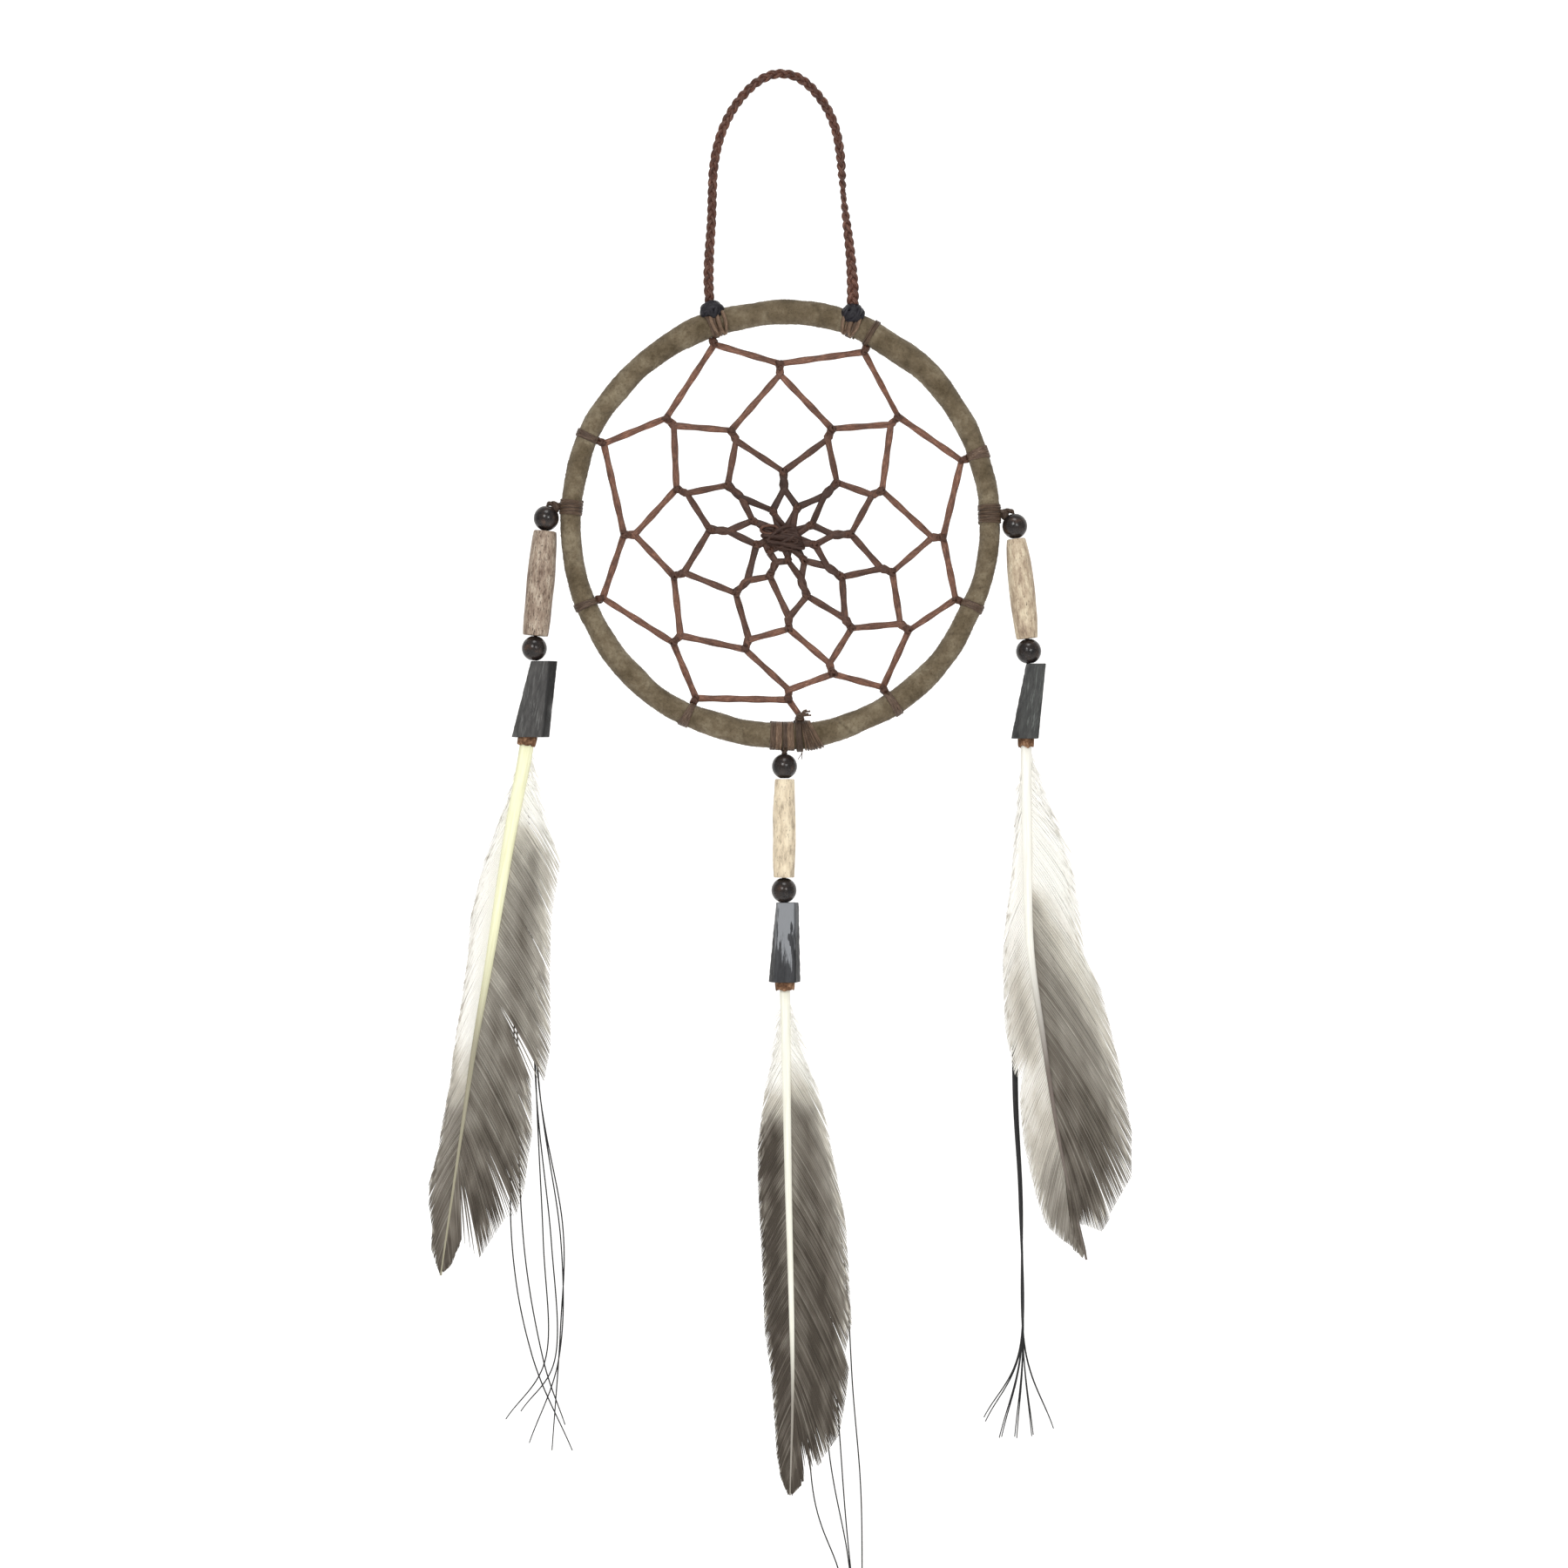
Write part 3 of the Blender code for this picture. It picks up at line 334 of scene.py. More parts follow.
def add_attribute(mesh, name, kind, key, values):
    layer = mesh.attributes.new(name, kind, "POINT")
    layer.data.foreach_set(key, np.ascontiguousarray(values, np.float32).ravel())


# Materials


def node(tree, kind, inputs=(), **settings):
    made = tree.nodes.new("ShaderNode" + kind)
    for key, value in settings.items():
        setattr(made, key, value)
    for key, value in dict(inputs).items():
        if isinstance(value, bpy.types.NodeSocket):
            tree.links.new(value, made.inputs[key])
        else:
            made.inputs[key].default_value = value
    return made


def attribute(tree, name, output):
    return node(tree, "Attribute", attribute_name=name).outputs[output]


def stretched(tree, source, scale):
    return node(tree, "Mapping", {"Vector": source, "Scale": scale}).outputs["Vector"]


def speckle(tree, vector, scale, detail=4.0, roughness=0.6):
    sockets = {"Vector": vector, "Scale": scale, "Detail": detail, "Roughness": roughness}
    return node(tree, "TexNoise", sockets).outputs["Fac"]


def ramp(tree, factor, stops):
    made = node(tree, "ValToRGB", {"Fac": factor})
    bar = made.color_ramp
    while len(bar.elements) < len(stops):
        bar.elements.new(0.5)
    for element, (place, colour) in zip(bar.elements, stops):
        element.position = place
        element.color = (*colour, 1.0)
    return made.outputs["Color"]


def mix(tree, factor, a, b):
    made = node(tree, "Mix", {0: factor}, data_type="RGBA")
    for key, value in ((6, a), (7, b)):
        if isinstance(value, bpy.types.NodeSocket):
            tree.links.new(value, made.inputs[key])
        else:
            made.inputs[key].default_value = (*value, 1.0)
    return made.outputs[2]


def shaded(tree, colour, dark):
    """The colour turned dark where the points' shade says so."""
    return mix(tree, attribute(tree, "shade", "Fac"), colour, dark)


def calc(tree, operation, a, b):
    return node(tree, "Math", {0: a, 1: b}, operation=operation).outputs[0]


def grey(value):
    return (value, value, value)


def times(factor, colour):
    return tuple(factor * c for c in colour)


def new_look(name, roughness, **sockets):
    look = bpy.data.materials.new(name)
    look.use_nodes = True
    shader = look.node_tree.nodes["Principled BSDF"]
    shader.inputs["Roughness"].default_value = roughness
    for key, value in sockets.items():
        shader.inputs[key.replace("_", " ")].default_value = value
    return look, look.node_tree, shader


def finish_look(tree, shader, colour, height=None, depth=0.0001, rough=None):
    tree.links.new(colour, shader.inputs["Base Color"])
    if height is not None:
        bump = node(tree, "Bump", {"Height": height, "Strength": 1.0, "Distance": depth})
        tree.links.new(bump.outputs["Normal"], shader.inputs["Normal"])
    if rough is not None:
        tree.links.new(rough, shader.inputs["Roughness"])


def object_place(tree):
    return node(tree, "TexCoord").outputs["Object"]


def suede_look():
    look, tree, shader = new_look("suede_nap", 0.95, Sheen_Weight=0.1, Specular_IOR_Level=0.15)
    place = object_place(tree)
    patches = speckle(tree, place, 130.0, 5.0, 0.7)
    grain = speckle(tree, place, 1100.0, 3.0, 0.7)
    stops = ((0.3, (0.075, 0.055, 0.03)), (0.5, (0.145, 0.112, 0.07)), (0.68, (0.235, 0.195, 0.13)))
    colour = ramp(tree, patches, stops)
    specks = ramp(tree, grain, ((0.5, grey(0.0)), (0.75, grey(0.6))))
    colour = mix(tree, specks, colour, (0.05, 0.036, 0.02))
    # The points' shade: painted shade along the wrap's seams, and on the nap a random darker tone.
    colour = shaded(tree, colour, (0.035, 0.026, 0.015))
    finish_look(tree, shader, colour, grain, 0.00035)
    return look


def strand_look(name, dark, middle, light, roughness, specular=0.3):
    """A waxed strand: fibres run along it, lighter stretches are partly wear and partly painted glints, and
    its shade darkens it.
    """
    look, tree, shader = new_look(name, roughness, Specular_IOR_Level=specular)
    grain = attribute(tree, "grain", "Vector")
    fibres = speckle(tree, stretched(tree, grain, (0.25, 2.4, 2.4)), 2.2, 5.0, 0.65)
    # Lighter stretches are partly wear and partly painted glints; the palest fibre colour is partly a
    # painted glint too.
    worn = speckle(tree, stretched(tree, grain, (0.14, 0.3, 0.3)), 1.6, 2.0)
    colour = ramp(tree, fibres, ((0.3, dark), (0.5, middle), (0.72, light)))
    colour = mix(tree, ramp(tree, worn, ((0.35, grey(0.6)), (0.6, grey(0.0)))), colour, dark)
    colour = shaded(tree, colour, times(0.35, dark))
    finish_look(tree, shader, colour, fibres, 0.00012)
    return look


def bead_look():
    look, tree, shader = new_look("bead_gloss", 0.2, Specular_IOR_Level=0.35)
    place = object_place(tree)
    cloud = speckle(tree, place, 330.0, 5.0, 0.7)
    stops = ((0.35, (0.009, 0.008, 0.008)), (0.55, (0.026, 0.019, 0.016)), (0.75, (0.085, 0.05, 0.035)))
    scuffs = speckle(tree, place, 2000.0, 2.0)
    rough = ramp(tree, scuffs, ((0.45, grey(0.14)), (0.75, grey(0.4))))
    finish_look(tree, shader, ramp(tree, cloud, stops), cloud, 0.00008, rough)
    return look


def bone_look(name, light, middle, stain, weathering):
    """Worn bone: blotches and long stains, and short dark pores along the grain."""
    look, tree, shader = new_look(name, 0.55, Specular_IOR_Level=0.25)
    grain = attribute(tree, "grain", "Vector")
    blotches = speckle(tree, stretched(tree, grain, (0.16, 0.5, 0.5)), 1.0, 6.0, 0.7)
    stains = speckle(tree, stretched(tree, grain, (0.3, 0.9, 0.9)), 1.0, 4.0, 0.65)
    pores = speckle(tree, stretched(tree, grain, (0.6, 2.6, 2.6)), 1.0, 2.0)
    colour = ramp(tree, blotches, ((0.34, stain), (0.5, middle), (0.64, light)))
    edge = 0.68 - 0.12 * weathering
    stained = ramp(tree, stains, ((edge, grey(0.0)), (edge + 0.1, grey(0.8))))
    colour = mix(tree, stained, colour, stain)
    pitted = ramp(tree, pores, ((edge + 0.02, grey(0.0)), (edge + 0.08, grey(0.9))))
    colour = mix(tree, pitted, colour, times(0.4, stain))
    colour = shaded(tree, colour, (0.03, 0.022, 0.015))
    finish_look(tree, shader, colour, blotches, 0.0003)
    return look


def horn_look(name, base, scratch):
    """Dark horn: its shade marks the faces turned away, and its worn attribute the scraped patches."""
    look, tree, shader = new_look(name, 0.45, Specular_IOR_Level=0.25)
    grain = attribute(tree, "grain", "Vector")
    cloud = speckle(tree, stretched(tree, grain, (0.1, 0.5, 0.5)), 1.5, 5.0, 0.7)
    lines = speckle(tree, stretched(tree, grain, (0.1, 1.6, 1.6)), 1.2, 5.0, 0.7)
    stops = ((0.32, times(0.55, base)), (0.52, base), (0.75, times(1.7, base)))
    colour = ramp(tree, cloud, stops)
    scraped = calc(tree, "ADD", attribute(tree, "worn", "Fac"), calc(tree, "MULTIPLY", lines, 1.4))
    colour = mix(tree, ramp(tree, scraped, ((0.78, grey(0.0)), (0.92, grey(0.9)))), colour, scratch)
    colour = shaded(tree, colour, times(0.15, base))
    rough = ramp(tree, lines, ((0.3, grey(0.36)), (0.8, grey(0.62))))
    finish_look(tree, shader, colour, lines, 0.0002, rough)
    return look


def leather_look():
    look, tree, shader = new_look("cut_leather", 0.85, Specular_IOR_Level=0.2)
    place = object_place(tree)
    patches = speckle(tree, place, 520.0, 4.0, 0.7)
    fine = speckle(tree, place, 1900.0, 3.0)
    stops = ((0.32, (0.04, 0.02, 0.011)), (0.5, (0.16, 0.08, 0.042)), (0.68, (0.4, 0.24, 0.14)))
    finish_look(tree, shader, ramp(tree, patches, stops), fine, 0.0003)
    return look


def streaked_look(name, roughness, specular, stretch, size, stops, depth, dark=None):
    """Fine lines along the grain, size being their noise's scale and detail."""
    look, tree, shader = new_look(name, roughness, Specular_IOR_Level=specular)
    lines = speckle(tree, stretched(tree, attribute(tree, "grain", "Vector"), stretch), *size)
    colour = ramp(tree, lines, stops)
    if dark:
        colour = shaded(tree, colour, dark)
    finish_look(tree, shader, colour, lines, depth)
    return look


def quill_look(name, cream, edge):
    stops = ((0.3, edge), (0.6, cream))
    return streaked_look(name, 0.5, 0.2, (0.03, 1.4, 1.4), (2.0, 4.0), stops, 0.00012, (0.13, 0.1, 0.085))


def hair_look():
    stops = ((0.3, (0.006, 0.006, 0.007)), (0.7, (0.03, 0.029, 0.03)))
    return streaked_look("horsehair_strand", 0.4, 0.3, (0.05, 1.0, 1.0), (1.5, 3.0), stops, 0.00003)


def feather_look():
    """White to dark brown by the barb's shade, with a fine streak along each barb."""
    look, tree, shader = new_look("feather_barbs", 0.85, Specular_IOR_Level=0.1)
    grain = attribute(tree, "grain", "Vector")
    streaks = speckle(tree, stretched(tree, grain, (0.5, 1.0, 0.0)), 0.9, 3.0)
    amount = calc(tree, "ADD", attribute(tree, "shade", "Fac"), calc(tree, "MULTIPLY", streaks, 0.16))
    stops = (
        (0.1, (0.9, 0.885, 0.83)),
        (0.28, (0.57, 0.535, 0.465)),
        (0.5, (0.29, 0.267, 0.23)),
        (0.75, (0.165, 0.145, 0.12)),
        (1.05, (0.072, 0.06, 0.048)),
    )
    scaled = calc(tree, "DIVIDE", amount, 1.1)
    bar = tuple((place / 1.1, colour) for place, colour in stops)
    finish_look(tree, shader, ramp(tree, scaled, bar), streaks, 0.00005)
    return look


def wood_look():
    look, tree, shader = new_look("willow_rod", 0.8)
    lines = speckle(tree, stretched(tree, object_place(tree), (1.0, 1.0, 0.2)), 500.0, 5.0)
    colour = ramp(tree, lines, ((0.3, (0.28, 0.17, 0.08)), (0.7, (0.5, 0.36, 0.2))))
    finish_look(tree, shader, colour, lines, 0.0002)
    return look


def inner_sinew_look():
    look, tree, shader = new_look("sinew_inside", 0.5)
    fine = speckle(tree, object_place(tree), 900.0, 4.0)
    colour = ramp(tree, fine, ((0.3, (0.05, 0.02, 0.012)), (0.7, (0.16, 0.07, 0.04))))
    finish_look(tree, shader, colour, fine, 0.0001)
    return look


SUEDE = suede_look()
# Each strand look's third colour, its palest fibres, is partly a painted glint.
SINEW = strand_look("waxed_sinew", (0.05, 0.021, 0.013), (0.18, 0.076, 0.045), (0.4, 0.21, 0.135), 0.45)
BINDING = strand_look("binding_sinew", (0.034, 0.017, 0.01), (0.125, 0.074, 0.048), (0.42, 0.31, 0.22), 0.5)
HANGER = strand_look("hanger_sinew", (0.05, 0.026, 0.015), (0.17, 0.105, 0.065), (0.4, 0.29, 0.2), 0.5)
BRAIDED = strand_look("braided_sinew", (0.028, 0.009, 0.006), (0.11, 0.036, 0.022), (0.46, 0.28, 0.2), 0.42)
WAXED = strand_look("black_wax", (0.006, 0.005, 0.008), (0.012, 0.011, 0.016), (0.04, 0.036, 0.05), 0.45)
BEADS = bead_look()
BONE = {
    "left": bone_look("bone_weathered", (0.5, 0.42, 0.33), (0.32, 0.245, 0.185), (0.15, 0.1, 0.072), 1.0),
    "right": bone_look("bone_tan", (0.68, 0.59, 0.43), (0.48, 0.38, 0.27), (0.25, 0.18, 0.125), 0.6),
    "bottom": bone_look("bone_cream", (0.8, 0.7, 0.52), (0.68, 0.57, 0.41), (0.36, 0.29, 0.21), 0.45),
}
HORN = {
    "left": horn_look("horn_charcoal", (0.054, 0.052, 0.05), (0.13, 0.13, 0.125)),
    "right": horn_look("horn_black", (0.044, 0.045, 0.043), (0.12, 0.13, 0.12)),
    "bottom": horn_look("horn_scraped", (0.038, 0.039, 0.042), (0.25, 0.26, 0.275)),
}
LEATHER = leather_look()
QUILL = {
    "left": quill_look("quill_cream", (0.88, 0.88, 0.62), (0.76, 0.75, 0.48)),
    "right": quill_look("quill_white", (0.9, 0.89, 0.82), (0.78, 0.76, 0.68)),
    "bottom": quill_look("quill_ivory", (0.89, 0.88, 0.78), (0.78, 0.77, 0.64)),
}
FEATHER = feather_look()
HAIR = hair_look()


# Camera, light and stage


def make_camera():
    data = bpy.data.cameras.new("camera")
    data.lens = 85
    data.sensor_width = 36
    data.clip_start = 0.01
    obj = new_object("camera", data)
    obj.location = Vector((1.35, -1275.0, -242.7)) * MM
    obj.rotation_euler = (math.radians(90), 0, 0)
    bpy.context.scene.camera = obj


def area_light(name, place, target, size, power):
    data = bpy.data.lights.new(name, "AREA")
    data.shape = "DISK"
    data.size = size
    data.energy = power
    obj = new_object(name, data)
    obj.location = place
    obj.rotation_euler = (Vector(target) - Vector(place)).to_track_quat("-Z", "Y").to_euler()


ROOM = 4  # half the width of the wall and of the floor, in metres
WALL_BACK, WALL_TOP, FLOOR = 0.6, 2.5, -0.9
PAPER_GLOW = 0.22


def sheet_look(name, two_sided):
    """Pale paper that gives a little light of its own, clear from behind unless it is two-sided."""
    look, tree, shader = new_look(name, 0.9, Specular_IOR_Level=0.1)
    paper = speckle(tree, object_place(tree), 30.0, 2.0)
    colour = ramp(tree, paper, ((0.3, (0.93, 0.925, 0.92)), (0.7, (0.95, 0.947, 0.94))))
    finish_look(tree, shader, colour)
    tree.links.new(colour, shader.inputs["Emission Color"])
    shader.inputs["Emission Strength"].default_value = PAPER_GLOW
    if not two_sided:
        behind = node(tree, "NewGeometry").outputs["Backfacing"]
        clear = node(tree, "BsdfTransparent").outputs["BSDF"]
        choice = node(tree, "MixShader", {0: behind, 1: shader.outputs["BSDF"], 2: clear})
        tree.links.new(choice.outputs["Shader"], tree.nodes["Material Output"].inputs["Surface"])
    return look


def make_stage():
    """A lit white sheet behind the object's reach, open to view from behind, and a pale floor below."""
    world = bpy.data.worlds.new("studio")
    bpy.context.scene.world = world
    world.use_nodes = True
    backdrop = world.node_tree.nodes["Background"]
    backdrop.inputs["Color"].default_value = (1.0, 1.0, 1.0, 1.0)
    backdrop.inputs["Strength"].default_value = 0.5
    wall = [(x * ROOM, WALL_BACK, z) for x, z in ((-1, FLOOR), (1, FLOOR), (1, WALL_TOP), (-1, WALL_TOP))]
    floor = [(x * ROOM, y * ROOM, FLOOR) for x, y in ((-1, -1), (1, -1), (1, 1), (-1, 1))]
    for name, corners, two_sided in (("wall", wall, False), ("floor", floor, True)):
        mesh = bpy.data.meshes.new(name)
        mesh.from_pydata(corners, [], [(0, 1, 2, 3)])
        mesh.materials.append(sheet_look(name + "_paint", two_sided))
        new_object(name, mesh)
    area_light("key", (-0.45, -1.5, 0.35), (0, 0, -0.25), 0.5, 8.0)
    area_light("fill", (0.5, -1.4, 0.05), (0, 0, -0.25), 0.4, 4.6)
    area_light("top", (0.0, -0.8, 1.3), (0, 0, -0.2), 0.7, 7.5)
    bpy.context.scene.view_settings.view_transform = "Standard"


# The braided loop, its two ends held in the knots


def braid_route():
    route = [at(x, z, BRAID_SWING * min(1.0, max(0.0, -z / 70))) for x, z in BRAID_ROUTE]
    return smooth(route, 420)


BRAID_PERIOD = 9.5  # the length of one full plait


def make_braid():
    """A flat braid of three strands that turns over once, a third of the way up its right side."""
    centre = braid_route()
    run = np.concatenate([[0], np.cumsum(np.linalg.norm(np.diff(centre, axis=0), axis=1))])
    tangent = unit(np.gradient(centre, axis=0))
    share = run / run[-1]
    turn = np.clip((share - 0.7) / 0.2, 0, 1)
    twist = math.pi * turn * turn * (3 - 2 * turn) + 0.35 * np.sin(share * 19)
    in_plane = unit(np.cross(tangent, FRONT))
    flat = in_plane * np.cos(twist)[:, None] + FRONT * np.sin(twist)[:, None]
    thick = np.cross(tangent, flat)
    swell = 1 + 0.28 * np.exp(-(((share - 0.985) / 0.07) ** 2))
    swell = swell + 0.12 * np.exp(-(((share - 0.06) / 0.05) ** 2))
    strands = Strands()
    for number in range(3):
        phase = 2 * math.pi * (run / BRAID_PERIOD + number / 3)
        sideways = 0.98 * swell * np.sin(phase)
        over = 0.5 * np.sin(2 * phase)
        path = centre + flat * sideways[:, None] + thick * over[:, None]
        # Painted shade: each strand is darker where it passes under the others.
        dark = 0.05 + 0.65 * np.clip(-over, 0, 0.5)
        strands.sweep(path, thick, 0.56, 0.72 * swell, shade=dark, sides=10)
    obj = strands.piece("braid", BRAIDED, "hanger", "braided_sinew", "hanger_braid")
    path = [tuple(p * MM) for p in centre[::14]] + [tuple(centre[-1] * MM)]


# The hoop


def bump_at(degrees, middle, width):
    gap = (np.asarray(degrees) - middle + 180) % 360 - 180
    return np.exp(-((gap / width) ** 2))


def away_from_beads(degrees):
    """1 along the hoop, and 0 where it runs beside the left and right beads."""
    return 1 - bump_at(degrees, 180, 14) - bump_at(degrees, 0, 14)


def hoop_radius(degrees):
    """The wrapped tube's radius, with the lumps that the wrapping leaves."""
    a = np.radians(degrees)
    lumps = 0.16 * np.sin(7 * a + 0.5) + 0.12 * np.sin(13 * a + 1.0) + 0.08 * np.sin(29 * a)
    base = TUBE_SIDE + (TUBE_END - TUBE_SIDE) * np.sin(a) ** 2
    return base + lumps * away_from_beads(degrees) + 0.45 * bump_at(degrees, 46, 9)


def hoop_point(degrees):
    a = np.radians(degrees)
    waves = 0.3 * np.sin(5 * a + 1) + 0.22 * np.sin(9 * a + 2.2) + 0.12 * np.sin(17 * a)
    off = waves * away_from_beads(degrees) + 0.5 * bump_at(degrees, 45, 7)
    place = np.stack([(HOOP_ACROSS + off) * np.cos(a), 0 * a, (HOOP_TALL + off) * np.sin(a)], -1)
    return HOOP_CENTRE + place


def rim_normal(degrees, around):
    """Straight out of the tube: around is 0 on the hoop's outer side, pi on the inner, pi/2 in front."""
    a = np.radians(degrees)
    outward = unit(np.stack([np.cos(a) / HOOP_ACROSS, 0 * a, np.sin(a) / HOOP_TALL], -1))
    return outward * np.cos(around)[..., None] + FRONT * np.sin(around)[..., None]


def rim(degrees, around, lift):
    """A place at a height over the wrapped tube."""
    degrees = np.asarray(degrees, float)
    reach = (hoop_radius(degrees) + lift)[..., None]
    return hoop_point(degrees) + rim_normal(degrees, around) * reach


SUEDE_TURNS = 26
SUEDE_STEPS, SUEDE_SIDES = 1080, 44
NAP_FIBRES = 9000


def make_suede():
    """The suede strip, wound round the hoop in overlapping turns, with its nap standing off."""
    steps, sides = SUEDE_STEPS, SUEDE_SIDES
    along = np.linspace(0, 360, steps, endpoint=False)
    degrees, around = np.meshgrid(along, full_turn(sides), indexing="ij")
    wobble = 0.05 * np.sin(np.radians(degrees) * 11) + 0.03 * np.sin(2 * around)
    phase = (degrees / 360 * SUEDE_TURNS + around / (2 * math.pi) + wobble) % 1
    step = 0.14 * phase * (1 - np.exp(-(((1 - phase) / 0.03) ** 2)))
    places = rim(degrees, around, 0 * degrees)
    flat = places.reshape(-1, 3)
    uneven = [noise.noise(Vector(p) * 0.9) * 0.13 + noise.noise(Vector(p) * 2.6) * 0.07 for p in flat]
    lift = step + np.array(uneven).reshape(step.shape) - 0.12
    points = rim(degrees, around, lift).reshape(-1, 3)
    # Painted shade on both sides of each turn's step.
    seam_shade = 0.28 * np.exp(-(((1 - phase) / 0.04) ** 2)) + 0.15 * np.exp(-((phase / 0.03) ** 2))
    i, k = np.meshgrid(np.arange(steps), np.arange(sides), indexing="ij")
    j, l = (i + 1) % steps, (k + 1) % sides
    faces = np.stack([i * sides + k, i * sides + l, j * sides + l, j * sides + k], -1)
    faces = faces.reshape(-1, 4).tolist()
    make_piece("hoop_suede", points, faces, SUEDE, "hoop", ("hoop_wrap",), seam_shade.ravel())
    make_nap()


def make_nap():
    """Loose suede fibres, each a thin three-sided spike leaning along the hide."""
    draw = random.Random(7)
    points, faces, shade = [], [], []
    for _ in range(NAP_FIBRES):
        degrees = np.array(draw.uniform(0, 360))
        around = np.array(draw.uniform(0, 2 * math.pi))
        root = rim(degrees, around, 0.0)
        normal = rim_normal(degrees, around)
        lean = unit(np.array([draw.gauss(0, 1), draw.gauss(0, 1), draw.gauss(0, 1)]))
        side = unit(np.cross(normal, lean))
        length = draw.uniform(0.25, 0.75)
        tip = root + unit(normal * 0.7 + lean * 0.8) * length
        base = len(points)
        foot = root - normal * 0.1
        points += list(foot + circle(full_turn(3), side, np.cross(normal, side)) * 0.045)
        points.append(tip)
        faces += [(base, base + 1, base + 3), (base + 1, base + 2, base + 3), (base + 2, base, base + 3)]
        faces.append((base + 2, base + 1, base))
        shade += [draw.uniform(0, 0.15)] * 4
    nap = make_piece("hoop_nap", points, faces, SUEDE, "hoop", shade=np.array(shade))
    nap.data.shade_flat()


def wind(strands, middle, length, turns, wide, shade, seed, thick=0.3, fan=0.0, lean=0.0, lift=0.0):
    """A strand wound round the hoop, its turns spread evenly along it. fan draws them together on the
    inner side, and lean shifts them along the hoop between the inner side and the outer."""
    draw = random.Random(seed)
    count = int(turns * 22) + 1
    around = math.pi + np.linspace(0, 2 * math.pi * turns, count)
    gather = 1 - fan * (1 - np.cos(around)) / 2
    jitter = np.array([draw.gauss(0, 0.09) for _ in range(int(turns) + 2)])
    along = np.linspace(-0.5, 0.5, count) * length * gather + lean * np.cos(around)
    along += np.interp(np.linspace(0, turns, count), np.arange(len(jitter)), jitter)
    degrees = middle + np.degrees(along / HOOP_ACROSS)
    path = rim(degrees, around, lift + thick)
    tangent = unit(np.gradient(path, axis=0))
    across = np.cross(tangent, rim_normal(degrees, around))
    strands.sweep(path, across, wide, thick, shade=shade)


def loop_over(strands, middle, width, start, end, thick, shade):
    """A loop of sinew on the hoop's front, from one place round the tube to another and back."""
    half_way = 0.5 * (start + end)
    spots = ((-0.4, start), (-0.5, half_way), (0.0, end), (0.5, half_way), (0.4, start))
    route = smooth([(middle + width * across, around, 0.0) for across, around in spots], 26)
    path = rim(route[:, 0], route[:, 1], thick)
    strands.sweep(path, FRONT, thick * 0.8, thick, shade=shade)


def make_web_turns():
    """Each row: middle, length, turns, half width of the strand, fan and shade."""
    rows = (
        (-116.2, 3.4, 5, 0.5, 0.6, 0.25),
        (-157.8, 2.4, 3, 0.6, 0.3, 0.4),
        (155.6, 2.4, 3, 0.6, 0.3, 0.4),
        (19.2, 4.0, 5, 0.55, 0.5, 0.15),
        (-22.8, 2.6, 3, 0.6, 0.35, 0.3),
        (-57.5, 2.6, 3, 0.6, 0.4, 0.3),
    )
    for number, (middle, length, turns, wide, fan, shade) in enumerate(rows, 1):
        strands = Strands()
        wind(strands, middle, length, turns, wide, shade, number, fan=fan, lift=-0.1)
        node_name = f"web_turn_{number}"
        strands.piece(node_name + "_wound", BINDING, "hoop", "sinew", node_name)


def make_side_bindings():
    for side, middle, length, turns in (("left", 175.4, 5.0, 8), ("right", 2.7, 6.0, 9)):
        strands = Strands()
        wind(strands, middle, length, turns, 0.4, 0.45, 20 + turns, lift=-0.14)
        wind(strands, middle, length * 0.7, 3, 0.3, 0.7, 30 + turns, lean=0.5, lift=-0.02)
        strands.piece(f"binding_{side}_wound", HANGER, "hoop", "sinew", f"binding_{side}")


def make_bottom_binding():
    """Light and dark bands side by side, a fan of thin turns, and the string's knotted, frayed end."""
    strands = Strands()
    for middle, length, turns, wide, shade in (
        (-92.0, 1.5, 3, 0.4, 0.5),
        (-90.4, 1.7, 3, 0.45, 0.0),
        (-88.8, 1.2, 2, 0.5, 0.65),
        (-87.2, 2.2, 4, 0.42, 0.05),
    ):
        wind(strands, middle, length, turns, wide, shade, int(-middle * 10), lift=0.05)
    wind(strands, -84.9, 1.6, 3, 0.55, 0.75, 33, thick=0.4, lift=0.25)
    wind(strands, -81.9, 6.2, 9, 0.3, 0.1, 34, fan=0.5, lean=1.0, lift=0.1)
    wind(strands, -82.3, 4.6, 5, 0.26, 0.6, 35, fan=0.6, lean=1.4, lift=0.3)
    knot = at(6.8, -219.6, -3.6)
    for tilt in (0.2, 1.3, 2.4):
        second = np.array((0.0, math.cos(tilt), math.sin(tilt)))
        ring = circle(full_turn(14), np.array((1.0, 0.0, 0.0)), second)
        strands.sweep(knot + ring, ring, 0.4, 0.5, shade=0.6, sides=6, closed=True)
    for reach, rise in ((3.6, 1.9), (3.0, 1.0), (2.4, 2.3), (3.9, 0.5)):
        path = smooth([knot, knot + [reach * 0.5, -0.8, rise * 0.8], knot + [reach, -0.9, rise]], 9)
        strands.sweep(path, FRONT, np.linspace(0.45, 0.2, 9), 0.3, shade=0.45)
    for reach in (-1.6, -0.4):
        path = smooth([at(7.8, -229.8, -4.6), at(7.6, -231.8, -4.0), at(7.8 + reach, -234.2, -3.0)], 9)
        strands.sweep(path, FRONT, 0.14, 0.14, shade=0.6, sides=5)
    strands.piece("binding_bottom_wound", HANGER, "hoop", "sinew", "binding_bottom")


